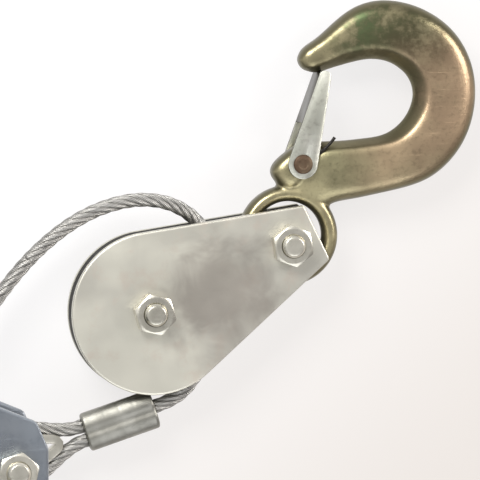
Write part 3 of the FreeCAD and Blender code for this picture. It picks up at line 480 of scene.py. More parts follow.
def shimmer_group():
    """Yellow zinc: gold with olive clouds, a painted dark reflection over the top of the bowl, green near the point and
    at the neck, pink at the back and on the shank, and dark specks. Places are read from the map of the hook's own
    plane."""
    group, given = open_group("winch_shimmer", {"Gold": GREY, "Olive": GREY, "Green": GREY, "Pink": GREY})
    point = object_point(group)
    swirl = add_node(group, "TexNoise", {"Vector": point, "Scale": 60.0}).outputs["Color"]
    spot = vector_maths(group, "MULTIPLY_ADD", (swirl, (0.24, 0.24, 0.0), map_point(group, "plan")))
    broad = noise_node(group, point, 42.0, 4.0, 0.6, 0.6)
    grain = noise_node(group, point, 620.0, 4.0, 0.7)
    grit = noise_node(group, point, 170.0, 4.0, 0.65)
    cloud = maths(group, "MULTIPLY", range_node(group, broad, 0.45, 0.7), 0.45)
    colour = mix_colours(group, cloud, given["Gold"], given["Olive"])
    # colour, place, radius, softness of the edge, amount
    tints_and_painted_reflection = (
        # olive over the top of the bowl: a painted dark reflection, mottled by the grit noise
        ("Olive", (1.0, 0.24), 0.36, 0.22, range_node(group, grit, 0.3, 0.6, 0.45, 0.95)),
        ("Green", (0.92, 0.4), 0.13, 0.12, range_node(group, grit, 0.38, 0.6, 0.1, 0.85)),
        ("Green", (0.4, 0.2), 0.09, 0.1, 0.2),
        ("Pink", (0.82, -0.12), 0.22, 0.16, 0.75),
        ("Pink", (0.55, -0.02), 0.12, 0.14, 0.5))
    for label, (x, y), radius, edge, amount in tints_and_painted_reflection:
        reach = vector_maths(group, "DISTANCE", (spot, (x, y, 0.0)), "Value")
        near = range_node(group, reach, radius - edge, radius + edge, 1.0, 0.0)
        colour = mix_colours(group, maths(group, "MULTIPLY", near, amount), colour, given[label])
    speck = maths(group, "MULTIPLY", range_node(group, grain, 0.48, 0.75), 0.35)
    return close_group(group, {"Color": mix_colours(group, speck, colour, given["Olive"])})


def wires_group():
    """Wires of a strand as slanting ridges: the height is |sin(pi (9 u - 0.16 v))| on the strand's own map, u once
    round the strand and v millimetres along the rope."""
    group, given = open_group("winch_wires", {"Wire": GREY, "Recess": GREY})
    along_strand = axes_of(group, map_point(group, "along"))
    phase = maths(group, "ADD", maths(group, "MULTIPLY", along_strand["X"], 9.0),
                  maths(group, "MULTIPLY", along_strand["Y"], -0.16))
    ridge = maths(group, "ABSOLUTE", maths(group, "SINE", maths(group, "MULTIPLY", phase, math.pi)))
    dirt = noise_node(group, object_point(group), 240.0, 4.0, 0.65)
    # the grooves between the wires take the Recess colour as painted shade, and the dirt noise dulls the wires in
    # places
    groove_shade_and_dirt_mask = maths(group, "MULTIPLY", range_node(group, ridge, 0.1, 0.75), range_node(group, dirt, 0.2, 0.6, 0.55, 1.0))
    return close_group(group, {
        "Color": mix_colours(group, groove_shade_and_dirt_mask, given["Recess"], given["Wire"]), "Height": ridge,
        "Roughness": range_node(group, dirt, 0.3, 0.7, 0.3, 0.5)})


def facing_group():
    """A second tone that comes in as the piece's own normal leans from Low to High. Z of Scale counts faces that look
    up, and X and Y count upright faces that look either way."""
    group, given = open_group("winch_facing", {"Color": GREY, "Tone": GREY, "Scale": LOOKING_UP, "Low": 0.3,
                                               "High": 0.8})
    normal = add_node(group, "TexCoord", {}).outputs["Normal"]
    lean = axes_of(group, vector_maths(group, "MULTIPLY", (normal, given["Scale"])))
    upright = maths(group, "ADD", maths(group, "ABSOLUTE", lean["X"]), maths(group, "ABSOLUTE", lean["Y"]))
    amount = range_node(group, maths(group, "ADD", lean["Z"], upright), given["Low"], given["High"])
    return close_group(group, {"Color": mix_colours(group, amount, given["Color"], given["Tone"])})


def patch_group():
    """A painted reflection: an uneven patch of a second tone round a point of the plan, seen from above."""
    group, given = open_group("winch_patch", {"Color": GREY, "Tone": GREY, "Centre": (0.0, 0.0, 0.0), "Radius": 0.02})
    flat = object_point(group, (1.0, 1.0, 0.0))
    reach = vector_maths(group, "DISTANCE", (flat, given["Centre"]), "Value")
    ratio = maths(group, "DIVIDE", reach, given["Radius"])
    ragged = maths(group, "ADD", ratio, maths(group, "MULTIPLY", noise_node(group, flat, 75.0, 3.0, 0.6, 0.5), 1.6))
    amount = maths(group, "MULTIPLY", range_node(group, ragged, 1.2, 2.3, 1.0, 0.0), 0.75)
    return close_group(group, {"Color": mix_colours(group, amount, given["Color"], given["Tone"])})


GROUP_MAKERS = {"clouds": clouds_group, "scuffs": scuffs_group, "shimmer": shimmer_group, "wires": wires_group,
                "facing": facing_group, "patch": patch_group}


def use_group(tree, key, values):
    """Places a shared effect in a material with its own values."""
    if key not in made:
        made[key] = GROUP_MAKERS[key]()
    return add_node(tree, "Group", values, node_tree=made[key])


def new_material(name):
    material = bpy.data.materials.new(name)
    material.use_nodes = True
    made[name] = material
    return material, material.node_tree, material.node_tree.nodes["Principled BSDF"]


def coat(tree, shader, colour, surface, metallic, depth):
    """Leads a colour, and an effect's roughness and height, into the shader."""
    bump = add_node(tree, "Bump", {"Height": surface.outputs["Height"], "Distance": depth})
    tree.links.new(colour, shader.inputs["Base Color"])
    tree.links.new(surface.outputs["Roughness"], shader.inputs["Roughness"])
    tree.links.new(bump.outputs["Normal"], shader.inputs["Normal"])
    shader.inputs["Metallic"].default_value = metallic


def rgba(colour):
    return (colour[0], colour[1], colour[2], 1.0)


def plated(name, base, cloud, fleck, rough=(0.26, 0.42), metallic=1.0, cloud_scale=32.0, fleck_scale=420.0,
           fleck_amount=0.25, scratch=0.3, grain=850.0, depth=0.00002, patch=None, facing=None):
    """A plated or bare metal: clouds for its colour, scuffs for its gloss and height. It can have a dark patch that is
    a painted reflection, and a second tone of painted shade where it faces a given way."""
    if name in made:
        return made[name]
    material, tree, shader = new_material(name)
    clouds = use_group(tree, "clouds", {"Cloud Scale": cloud_scale, "Fleck Scale": fleck_scale, "Base": rgba(base),
                                        "Cloud": rgba(cloud), "Fleck": rgba(fleck), "Fleck Amount": fleck_amount})
    scuffs = use_group(tree, "scuffs", {"Grain Scale": grain, "Scratch Amount": scratch, "Rough Low": rough[0],
                                        "Rough High": rough[1]})
    colour = clouds.outputs["Color"]
    if patch is not None:
        (x, y), radius, tone = patch
        colour = use_group(tree, "patch", {"Color": colour, "Centre": (x, y, 0.0), "Radius": radius,
                                           "Tone": rgba(tone)}).outputs["Color"]
    if facing is not None:
        scale, low, high, tone = facing
        colour = use_group(tree, "facing", {"Color": colour, "Scale": scale, "Low": low, "High": high,
                                            "Tone": rgba(tone)}).outputs["Color"]
    coat(tree, shader, colour, scuffs, metallic, depth)
    return material


def fastener_material(context):
    return plated("fastener_zinc", context.scene.winch_fasteners.colour, (0.6, 0.58, 0.5), (0.34, 0.32, 0.27),
                  cloud_scale=110.0, fleck_scale=600.0, grain=1400.0, depth=0.00001)


def wheel_steel_material():
    return plated("wheel_zinc", (0.44, 0.43, 0.38), (0.33, 0.32, 0.28), (0.16, 0.15, 0.13), (0.28, 0.48),
                  fleck_scale=500.0, fleck_amount=0.4)


def dark_spring_material():
    return plated("dark_spring_wire", (0.035, 0.034, 0.033), (0.06, 0.056, 0.05), (0.015, 0.014, 0.013),
                  (0.3, 0.5), 0.9, fleck_scale=900.0)


# Cords and ropes

# the free rope starts 5 mm past the drum's outer layer, with this heading
ROPE_EXIT = (20.7633, -10.8918, 18.511)
EXIT_HEADING = (0.64232, 0.76548, -0.04132)
SLACK_REAR = [
    ROPE_EXIT,
    (36.179, 7.48, 17.52),
    (54.0, 31.2, 17.4),
    (69.1, 54.4, 16.6),
    (78.0, 65.9, 16.1),
    (82.4, 70.45, 15.9),
]
SLACK_FRONT = [
    (82.4, 70.45, 15.9),
    (86.8, 75.0, 15.7),
    (96.9, 82.9, 15.3),
    (108.1, 88.6, 14.9),
    (120.2, 91.4, 14.6),
    (131.1, 90.4, 14.3),
    (139.4, 86.2, 14.1),
    (144.9, 80.0, 14.0),
    (148.3, 71.3, 14.0),
    (148.994, 61.171, 14.0),
    (147.904, 49.422, 14.0),
]
TAIL = [
    (126.526, 18.211, 14.0),
    (132.444, 20.191, 14.0),
    (138.05, 24.36, 14.0),
    (143.167, 31.748, 14.0),
    (147.096, 45.185, 14.0),
]
DRUM_LAYER = 22.9
DRUM_STEP = 5.95
DRUM_TURNS = 4
DRUM_EXIT_ANGLE = -40.0
DRUM_EXIT_HEIGHT = 18.7


def route_line(name, points):
    """Points every half millimetre along the NURBS spline of a route."""
    curve = bpy.data.curves.new(name, "CURVE")
    curve.dimensions = "3D"
    spline = curve.splines.new("NURBS")
    spline.points.add(len(points) - 1)
    flat = np.concatenate([np.asarray(points, float) / 1000.0, np.ones((len(points), 1))], 1)
    spline.points.foreach_set("co", flat.ravel())
    spline.order_u = 3
    spline.use_endpoint_u = True
    spline.resolution_u = 24
    holder = add_object(name, curve)
    bpy.context.view_layer.update()
    mesh = bpy.data.meshes.new_from_object(holder)
    line = np.zeros(len(mesh.vertices) * 3)
    mesh.vertices.foreach_get("co", line)
    bpy.data.objects.remove(holder)
    bpy.data.meshes.remove(mesh)
    return even_line(line.reshape(-1, 3) * 1000.0, 0.5)


def even_line(line, step):
    """The same line with points at even steps, and its length."""
    travel = travelled(line)
    s = np.linspace(0.0, travel[-1], max(8, int(travel[-1] / step) + 1))
    return np.stack([np.interp(s, travel, line[:, k]) for k in range(3)], -1), travel[-1]


def strand_grids(line, length, radius, strands, lay, sides, start):
    """The strands of a rope round a thin core, with maps. A strand's radius r is a little over a third of the rope's.
    Strand k is a tube round line + (radius - r) (cos f side + sin f up), with f = 2 pi (k / strands + s / lay)."""
    side, up = square_to(line)
    s = np.linspace(0.0, length, len(line)) + start
    grids, maps = [], []
    strand_radius = radius / 3.0 * 1.03
    u = np.linspace(0.0, 1.0, sides + 1)
    v = np.concatenate([s[:1], s, s[-1:]])
    for k in range(strands):
        turn = 2 * np.pi * (k / strands + s / lay)
        spoke = np.cos(turn)[:, None] * side + np.sin(turn)[:, None] * up
        middle = line + (radius - strand_radius) * spoke
        ahead = unit(np.gradient(middle, axis=0))
        out = unit(spoke - np.sum(spoke * ahead, axis=1, keepdims=True) * ahead)
        grid = middle[:, None] + strand_radius * wheel(full_turn(sides), out, np.cross(ahead, out))
        grids.append(capped(grid, middle[:1, None], middle[-1:, None]))
        maps.append(np.stack(np.broadcast_arrays(u[None, :], v[:, None]), -1))
    core = tube_grid(line, radius - 1.7 * strand_radius, 6)
    grids.append(core)
    maps.append(np.zeros(core.shape[:2] + (2,)))
    return grids, maps


def rope_material(settings):
    name = "wire_rope_steel"
    if name in made:
        return made[name]
    material, tree, shader = new_material(name)
    wires = use_group(tree, "wires", {"Wire": rgba(settings.colour), "Recess": rgba(settings.recess)})
    coat(tree, shader, wires.outputs["Color"], wires, 0.85, 0.00012)
    return material


def rope_piece(name, line, length, node, body, start=0.0, sides=12):
    settings = bpy.context.scene.winch_rope
    grids, maps = strand_grids(line, length, settings.diameter * 500.0, settings.strands, settings.lay * 1000.0, sides,
                               start)
    return place(name, make_mesh(name, grids, maps), rope_material(settings), body, (node,), None)


def metres(values):
    return tuple(float(v) / 1000.0 for v in values)


class WINCH_OT_slack_rope(bpy.types.Operator):
    """The free rope: from the drum to the sheave in two pieces, and from the sheave to the ferrule"""
    bl_idname = "winch.slack_rope"
    bl_label = "Slack rope"

    def execute(self, context):
        passed = 0.0
        for node, route, first, second, start, end in (
                ("rope_slack_rear", SLACK_REAR, "frame", "rope_eye", (40.0, 12.5, 17.5), (77.0, 64.0, 16.1)),
                ("rope_slack_front", SLACK_FRONT, "rope_eye", "block", (84.0, 72.0, 15.8), (126.0, 91.0, 14.5)),
                ("rope_tail", TAIL, "rope_eye", "block", (127.5, 18.6, 14.0), (142.6, 31.0, 14.0))):
            line, length = route_line(node + "_route", route)
            piece = rope_piece(node + "_strands", line, length, node, None, passed)
            passed += length
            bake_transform(piece)
        return {"FINISHED"}


class WINCH_OT_wound_rope(bpy.types.Operator):
    """The outer layer on the drum, the stretch on the sheave and the eye round the thimble"""
    bl_idname = "winch.wound_rope"
    bl_label = "Wound rope"

    def execute(self, context):
        # the layer on the drum: a helix that ends where the slack rope leaves, with a straight start and end
        turns = np.linspace(-DRUM_TURNS, 0.0, DRUM_TURNS * 240 + 1)
        angle = np.radians(DRUM_EXIT_ANGLE + 360.0 * turns)
        climb = DRUM_EXIT_HEIGHT - DRUM_STEP * turns
        helix = np.stack([DRUM_LAYER * np.cos(angle), DRUM_LAYER * np.sin(angle), climb], -1)
        ease = np.linspace(0.5, 5.0, 10)[:, None]
        before = helix[:1] - unit(helix[1:2] - helix[:1]) * ease[::-1]
        after = helix[-1:] + np.array([EXIT_HEADING]) * ease
        line, length = even_line(np.concatenate([before, helix, after]), 0.8)
        rope_piece("rope_winding_strands", line, length, "rope_winding", "drum", sides=8)
        # round the sheave, from where the rope comes on to where it leaves
        a = np.radians(np.linspace(-31.0, -42.0, 12) + BLOCK_ANGLE)
        arc = BLOCK_CENTRE + SHEAVE_ROPE_RADIUS * np.stack([np.cos(a), np.sin(a)], -1)
        line, length = even_line(at_height(arc, BLOCK_MIDDLE), 0.4)
        rope_piece("rope_on_sheave_strands", line, length, "rope_on_sheave", "block")
        # the eye: out of the ferrule, a leg, more than half a turn round the thimble, and back
        turn = np.radians(np.linspace(72.0, 288.0, 60))
        arc = np.stack([EYE_MIDDLE + EYE_RADIUS * np.cos(turn), EYE_RADIUS * np.sin(turn)], -1)
        leg = np.array([(29.6, 2.65), (27.4, 2.65), (24.0, 3.2), (18.0, 5.3), (11.0, 8.3)])
        flat = np.vstack([leg, arc, leg[::-1] * np.array([1.0, -1.0])])
        line = at_height(smooth_through(flat, 220), BLOCK_MIDDLE)
        line, length = even_line(moved(line, NOSE, EYE_ANGLE), 0.5)
        rope_piece("rope_eye_strands", line, length, "rope_eye_loop", "rope_eye")
        return {"FINISHED"}


# Hook, latch and its small parts

# Stations of the bar in the hook's own plane: its inner line, its outer line and half its thickness
HOOK_INNER = [
    (13.0, 10.5), (21.5, 14.4), (28.0, 14.0), (32.6, 11.2), (37.0, 5.9), (42.8, -0.6), (48.7, -6.1), (55.5, -8.5),
    (62.4, -7.9), (67.1, -5.4), (69.7, -1.8), (70.7, 2.5), (70.1, 7.9), (67.6, 12.8), (64.3, 16.4), (60.8, 19.3),
    (57.0, 22.2), (53.5, 24.7), (51.2, 27.0), (50.0, 30.0)]
HOOK_OUTER = [
    (13.5, -5.0), (18.6, -6.2), (24.5, -11.4), (31.0, -17.2), (37.0, -22.4), (44.8, -27.8), (52.6, -30.4),
    (61.1, -30.9), (71.2, -28.6), (80.2, -23.6), (87.4, -16.4), (92.5, -5.5), (93.0, 6.0), (90.3, 15.7),
    (85.0, 24.0), (77.8, 29.2), (68.0, 32.0), (60.5, 33.7), (55.4, 35.2), (52.2, 34.6)]
HOOK_HALF = [4.6, 5.6, 6.3, 6.5, 6.5, 6.5, 6.5, 6.5, 6.5, 6.5, 6.5, 6.5, 6.5, 6.5, 6.4, 6.2, 5.9, 5.6, 5.2, 4.0]
# Half of the bar's section as shares of its thickness, over distances from its inner and from its outer edge
BEVEL_IN = np.array([(0.0, 0.0), (0.25, 0.2), (1.3, 0.42), (2.5, 0.62), (3.6, 0.79), (4.4, 0.9), (5.6, 0.97),
                     (7.2, 1.0)])
BEVEL_OUT = np.array([(8.0, 1.0), (6.0, 0.985), (4.2, 0.94), (2.6, 0.83), (1.3, 0.66), (0.45, 0.42), (0.08, 0.2),
                      (0.0, 0.0)])


def squared(angle, power):
    """cos and sin drawn out towards a square: sign(c) |c|^(2/power)."""
    c, s = np.cos(angle), np.sin(angle)
    return np.sign(c) * np.abs(c) ** (2 / power), np.sign(s) * np.abs(s) ** (2 / power)


def hook_bar_grid():
    """The forged bar. Between matching points of the inner and the outer line lies a section with a wide flat bevel
    on the inner side and a round shoulder on the outer side, closed at the neck and at the point."""
    both = smooth_through(np.hstack([HOOK_INNER, HOOK_OUTER, np.array(HOOK_HALF)[:, None]]), 170)
    inner, outer, half = both[:, :2], both[:, 2:4], both[:, 4]
    width = np.linalg.norm(outer - inner, axis=1, keepdims=True)
    across = unit(outer - inner)
    fit = np.minimum(1.0, width / 19.0)
    near = inner[:, None] + across[:, None] * (BEVEL_IN[None, :, :1] * fit[:, None])
    far = outer[:, None] - across[:, None] * (BEVEL_OUT[None, :, :1] * fit[:, None])
    crown = (near[:, -1:] + far[:, :1]) / 2
    xy = np.concatenate([near, crown, far], 1)
    share = np.concatenate([BEVEL_IN[:, 1], [1.02], BEVEL_OUT[:, 1]])
    upper = at_height(xy, (half[:, None] * share[None, :])[..., None])
    lower = upper[:, -2:0:-1] * np.array([1.0, 1.0, -1.0])
    grid = np.concatenate([upper, lower, upper[:, :1]], 1)
    neck = grid[:1].mean(axis=1, keepdims=True)
    ahead = (both[-1, :2] + both[-1, 2:4] - both[-2, :2] - both[-2, 2:4]) / 2
    end = grid[-1:].mean(axis=1, keepdims=True) + np.append(ahead, 0.0)
    blunt = end + (grid[-1:] - grid[-1:].mean(axis=1, keepdims=True)) * 0.62
    return capped(np.concatenate([grid, blunt], 0), neck, end + np.append(ahead * 0.4, 0.0))


def hook_eye_grid():
    """The eye: a squared section carried round a circle."""
    c, s = squared(full_turn(48), 2.5)
    section = np.stack([14.8 + 2.8 * c, 4.9 * s], -1)
    return turned(section, steps=96)


def hook_boss_grid():
    """The boss between eye and bar that carries the latch: a squared ball."""
    ca, sa = squared(full_turn(48)[None, :], 3.0)
    cb, sb = squared(np.linspace(-np.pi / 2, np.pi / 2, 25)[:, None], 3.4)
    grid = np.stack(np.broadcast_arrays(8.2 * ca * cb, 6.0 * sa * cb, 6.3 * sb), -1)
    return moved(grid, (20.4, 12.6), -14.0)


def hook_form(voxel):
    """Bar, eye and boss welded by a voxel remesh and smoothed, as the forging's soft corners are."""
    mesh = make_mesh("hook_parts", [hook_bar_grid(), hook_eye_grid(), hook_boss_grid()])
    holder = add_object("hook_parts", mesh)
    weld = holder.modifiers.new("weld", "REMESH")
    weld.mode = "VOXEL"
    weld.voxel_size = voxel
    soften = holder.modifiers.new("soften", "SMOOTH")
    soften.factor = 0.5
    soften.iterations = 5
    bpy.context.view_layer.update()
    depsgraph = bpy.context.evaluated_depsgraph_get()
    form = bpy.data.meshes.new_from_object(holder.evaluated_get(depsgraph))
    bpy.data.objects.remove(holder)
    points = np.zeros(len(form.vertices) * 3)
    form.vertices.foreach_get("co", points)
    corners = np.zeros(len(form.loops), int)
    form.loops.foreach_get("vertex_index", corners)
    # the map holds the place in the hook's own plane, in decimetres
    plan = points.reshape(-1, 3)[corners, :2] * 10.0
    form.uv_layers.new(name="plan").data.foreach_set("uv", plan.ravel().astype(np.float32))
    return form


def hook_material(settings):
    material, tree, shader = new_material("yellow_zinc_forging")
    shimmer = use_group(tree, "shimmer", {"Gold": rgba(settings.gold), "Olive": rgba(settings.olive),
                                          "Green": rgba(settings.green), "Pink": rgba(settings.pink)})
    scuffs = use_group(tree, "scuffs", {"Grain Scale": 620.0, "Scratch Amount": 0.25, "Rough Low": 0.3,
                                        "Rough High": 0.5})
    # the upright flanks get a darker tone than the flat faces: painted shade on faces turned from the lamps
    flanks = use_group(tree, "facing", {"Color": shimmer.outputs["Color"], "Scale": UPRIGHT, "Low": 0.5, "High": 1.15,
                                        "Tone": (0.15, 0.135, 0.08, 1.0)})
    coat(tree, shader, flanks.outputs["Color"], scuffs, 0.9, 0.00006)
    return material


HOOK_PLACES = (("load", HOOK_BOLT, HOOK_ANGLE, BLOCK_MIDDLE), ("anchor", REAR, ANCHOR_ANGLE, FRAME_MIDDLE))


class WINCH_OT_hooks(bpy.types.Operator):
    """The two forged hooks"""
    bl_idname = "winch.hooks"
    bl_label = "Hooks"

    def execute(self, context):
        settings = context.scene.winch_hook
        form = hook_form(settings.voxel)
        finish = hook_material(settings)
        for prefix, origin, angle, height in HOOK_PLACES:
            mesh = form.copy()
            mesh.name = prefix + "_hook_forging"
            where = along(origin, angle, *HOOK_PLAY)
            mesh.transform(Matrix.Translation(Vector(metres((where[0], where[1], height))))
                           @ Matrix.Rotation(math.radians(angle), 4, "Z"))
            place(mesh.name, mesh, finish, prefix + "_hook", (prefix + "_hook",), None)
        return {"FINISHED"}


class WINCH_OT_latches(bpy.types.Operator):
    """The sprung latches with their pins and springs"""
    bl_idname = "winch.latches"
    bl_label = "Latches"

    def execute(self, context):
        # the upright sides of the latch sheet take a dark tone: painted shade
        sheet = plated("latch_zinc", (0.70, 0.71, 0.62), (0.76, 0.76, 0.68), (0.3, 0.29, 0.24), (0.28, 0.44),
                       cloud_scale=90.0, fleck_scale=380.0, fleck_amount=0.4, scratch=0.4,
                       facing=(UPRIGHT, 0.7, 1.0, (0.075, 0.07, 0.055)))
        brown = plated("brown_pin", (0.085, 0.05, 0.028), (0.13, 0.09, 0.055), (0.05, 0.03, 0.02), (0.45, 0.65), 0.55,
                       cloud_scale=240.0, fleck_scale=900.0, fleck_amount=0.5)
        x, y = LATCH_PIN[0] + HOOK_PLAY[0], LATCH_PIN[1] + HOOK_PLAY[1]
        rivet = rounded([(0.0, -8.9), (2.4, -8.9), (3.3, -8.5), (3.4, -8.2), (2.2, -8.15), (2.2, 8.15), (3.4, 8.2),
                         (3.35, 8.5), (2.9, 8.8), (1.8, 9.0), (1.5, 8.85), (0.0, 8.8)], 0.25)
        # the spring: coils on the pin, then a leg along the bar that ends in a small upturned tip
        turns = 2.4
        coil_radius = 3.3
        wire_radius = 0.55
        turn = np.linspace(0.0, turns * 2 * np.pi, 120)
        rise = wire_radius * turn / np.pi * 0.5
        coil = np.stack([coil_radius * np.cos(turn), coil_radius * np.sin(turn), 3.9 + rise], -1)
        leg = np.array([(5.5, -2.6, 5.6), (9.0, -3.2, 5.9), (12.4, -3.6, 6.1), (14.4, -3.6, 6.2)])
        wire = tube_grid(smooth_through(np.vstack([coil, leg]), 260), wire_radius, 10) + np.array([x, y, 0.0])
        for prefix, origin, angle, height in HOOK_PLACES:
            dressed_copy(prefix + "_latch", "sheet", sheet, prefix + "_latch", 0.00035)
            where = along(origin, angle, x, y)
            grid = turned(rivet, (where[0], where[1], height), 40)
            for ending, node, surface, finish in (
                    ("_latch_rivet", "_latch_pin", grid, brown),
                    ("_latch_wire", "_latch_spring", moved(wire, origin, angle, height), dark_spring_material())):
                mesh = make_mesh(prefix + ending, [surface])
                place(mesh.name, mesh, finish, prefix + "_hook", (prefix + node,))
        return {"FINISHED"}


# Fasteners

HEX_STEPS = 96
CONE_SHARE = 0.96
CONE_ANGLE = 28.0
THREAD_DEPTH = 0.42
HEAD_HEIGHT = 5.5
NUT_HEIGHT = 6.8
BOLT_PAST_SEAT = 9.2
THREAD_PLAY = 0.25
YOKE_REACH = 15.5


def hex_reach(angle, flats, turn):
    """Middle to side of a hexagon in each direction, with its corners slightly rounded off."""
    within = np.mod(angle - math.radians(turn), math.pi / 3) - math.pi / 6
    return np.minimum(flats / 2 / np.cos(within), flats / math.sqrt(3) * 0.985)


def ringed(rows, x, y):
    """Rows of (radius, height), each a number or one value per direction, as a grid round (x, y)."""
    a = full_turn(HEX_STEPS)
    return np.stack([np.stack(np.broadcast_arrays(x + r * np.cos(a), y + r * np.sin(a), z), -1) for r, z in rows])


def hexagon(flats, turn):
    """Directions, a hexagon's reach in each, the radius of the cone that cuts its corners, and the depth of the cut."""
    a = full_turn(HEX_STEPS)
    reach = hex_reach(a, flats, turn)
    cone = flats / 2 * CONE_SHARE
    return a, reach, cone, (reach - cone) * math.tan(math.radians(CONE_ANGLE))


def nut_grid(x, y, bottom, flats, hole, turn):
    """A hexagon nut: the corners are cut by a cone at both ends, so each side ends in a curve."""
    reach, cone, drop = hexagon(flats, turn)[1:]
    top = bottom + NUT_HEIGHT
    mid = flats / 2 * 0.9
    rows = [(hole, bottom + 0.4), (hole + 0.4, bottom), (mid, bottom), (cone, bottom + 0.02), (reach, bottom + drop),
            (reach, bottom + NUT_HEIGHT / 2), (reach, top - drop), (cone, top - 0.02), (mid, top), (hole + 0.55, top),
            (hole, top - 0.5), (hole, bottom + 0.4)]
    return ringed(rows, x, y)


def bolt_grid(x, y, bottom, seat, flats, radius, pitch, turn):
    """A hexagon bolt: head, shank, and a thread whose radius is cut by a clipped triangle wave of
    height / pitch - angle / (2 pi). Its nut stands on seat."""
    a, reach, cone, drop = hexagon(flats, turn)
    head = HEAD_HEIGHT
    top = seat + BOLT_PAST_SEAT
    thread_from = seat - 1.0
    rows = [(0.0, bottom + 0.25), (cone * 0.6, bottom + 0.25), (cone * 0.68, bottom), (cone, bottom + 0.02),
            (reach, bottom + drop), (reach, bottom + head - 0.05), (reach - 0.05, bottom + head),
            (radius, bottom + head), (radius, thread_from)]
    for level in np.arange(thread_from + 0.1, top - 0.05, pitch / 8):
        wave = np.abs(np.mod(level / pitch - a / (2 * np.pi), 1.0) * 2 - 1)
        end = max(0.0, level - (top - 0.9)) * 0.9
        rows.append((np.minimum(radius - THREAD_DEPTH * (1 - np.clip(wave * 1.25, 0, 1)), radius - end), level))
    rows += [(radius - 0.95, top - 0.02), (radius * 0.45, top), (0.0, top - 0.03)]
    return ringed(rows, x, y)


class WINCH_OT_fasteners(bpy.types.Operator):
    """All bolts and nuts of the frame, the block and the handle"""
    bl_idname = "winch.fasteners"
    bl_label = "Bolts and nuts"

    def execute(self, context):
        settings = context.scene.winch_fasteners
        finish = fastener_material(context)
        flats = settings.flats * 1000.0
        radius = settings.bolt_diameter * 500.0
        pitch = settings.thread * 1000.0
        hole = radius - THREAD_PLAY

        def pair(x, y, bottom, seat, turn, nut_turn):
            return (bolt_grid(x, y, bottom, seat, flats, radius, pitch, turn),
                    nut_grid(x, y, seat, flats, hole, turn + nut_turn))

        def put(bolt_node, nut_node, bolts, nuts, body):
            dress(bolt_node, "threaded", bolts, finish, body, 40.0)
            dress(nut_node, "faced", nuts, finish, body, 26.0)

        for name, (x, y), seat, turn, nut_turn, body in (
                ("nose", NOSE, FRAME_TOP, 8.0, 11.0, "frame"), ("rear", REAR, FRAME_TOP, 20.0, 11.0, "frame"),
                ("tie", TIE, FRAME_TOP, 14.0, 11.0, "frame"),
                ("hold_pawl", HOLD_PAWL_PIN, FRAME_TOP, 3.0, 11.0, "frame"),
                ("sheave", BLOCK_CENTRE, BLOCK_TOP, 12.0 + BLOCK_ANGLE, 9.0, "block"),
                ("hook", HOOK_BOLT, BLOCK_TOP, 4.0 + BLOCK_ANGLE, 9.0, "block")):
            bolt, nut = pair(x, y, 0.0, seat, turn, nut_turn)
            put(name + "_bolt", name + "_nut", [bolt], [nut], body)
        # the two bolts of the handle go through both yoke arms
        under = FRAME_MIDDLE - YOKE_REACH - HEAD_HEIGHT
        seat = FRAME_MIDDLE + YOKE_REACH
        bolts, nuts = zip(*(pair(*along(AXIS, HANDLE_ANGLE, distance, 0.0), under, seat, turn + HANDLE_ANGLE, nut_turn)
                            for distance, turn, nut_turn in ((99.0, 0.0, 0.0), (115.0, 7.0, 18.0))))
        put("handle_bolts", "handle_nuts", bolts, nuts, "handle")
        return {"FINISHED"}


# Pulley block


class WINCH_OT_block(bpy.types.Operator):
    """The two plates of the pulley block and the sheave between them"""
    bl_idname = "winch.block"
    bl_label = "Pulley block"

    def execute(self, context):
        settings = context.scene.winch_plates
        # the upper plate has a painted dark patch between its two bolts, standing in for a reflection
        painted_reflection_patch = ((0.1495, 0.0575), 0.0185, (0.30, 0.27, 0.24))
        outer = plated("bright_zinc_plate", settings.zinc, settings.cloud, (0.62, 0.53, 0.45), (0.34, 0.5), 0.8,
                       cloud_scale=40.0, fleck_scale=120.0, fleck_amount=0.4, scratch=0.1, depth=0.000012, patch=painted_reflection_patch)
        # the inner face of the lower plate is painted dark: painted shade between the plates
        inner = plated("shaded_inner_zinc_plate", settings.zinc, settings.cloud, (0.4, 0.38, 0.34), (0.36, 0.52), 0.8,
                       scratch=0.1, facing=(LOOKING_UP, 0.75, 0.95, (0.14, 0.14, 0.14)))
        edge = settings.edge_radius * 1000.0
        rollers = [(0.0, 0.0, 28.6), (63.3, 9.8, 1.0), (63.3, -9.8, 1.0)]
        bottom, top = PLATES_BOTTOM, PLATES_BOTTOM + BLOCK_PLATE
        grid = plate_grid(rollers, bottom, top, edge, BLOCK_CENTRE, BLOCK_ANGLE, count=240)
        # the lower plate shows its pressed face downwards
        grid = grid * np.array([1.0, 1.0, -1.0]) + np.array([0.0, 0.0, bottom + top])
        dress("block_plate_lower", "pressed", [grid], inner, "block", 25.0)
        grid = plate_grid(rollers, BLOCK_TOP - BLOCK_PLATE, BLOCK_TOP, edge, BLOCK_CENTRE, BLOCK_ANGLE, count=240)
        dress("block_plate_upper", "pressed", [grid], outer, "block", 25.0)
        # the sheave: one half of its section from the bore to the rim, the groove, and the other half mirrored
        steel = wheel_steel_material()
        side = np.array([(7.96, -4.6), (8.4, -4.8), (12.5, -4.8), (13.2, -3.4), (17.6, -3.4), (18.4, -4.8),
                         (25.4, -4.8), (26.0, -4.3)])
        groove = np.radians(np.linspace(-78.0, 78.0, 17))
        cup = np.stack([SHEAVE_ROPE_RADIUS - 2.85 * np.cos(groove), 2.85 * np.sin(groove)], -1)
        profile = np.vstack([side, cup, side[::-1] * np.array([1.0, -1.0]), side[:1]])
        grid = turned(profile, (BLOCK_CENTRE[0], BLOCK_CENTRE[1], BLOCK_MIDDLE), 96)
        dress("sheave", "grooved", [grid], steel, "sheave")
        for node in ("sheave_bush", "hook_sleeve"):
            dressed_copy(node, "turned", steel, "block", 0.0003)
        return {"FINISHED"}


# Rope eye

FERRULE_START = 29.6
FERRULE_LENGTH = 26.0


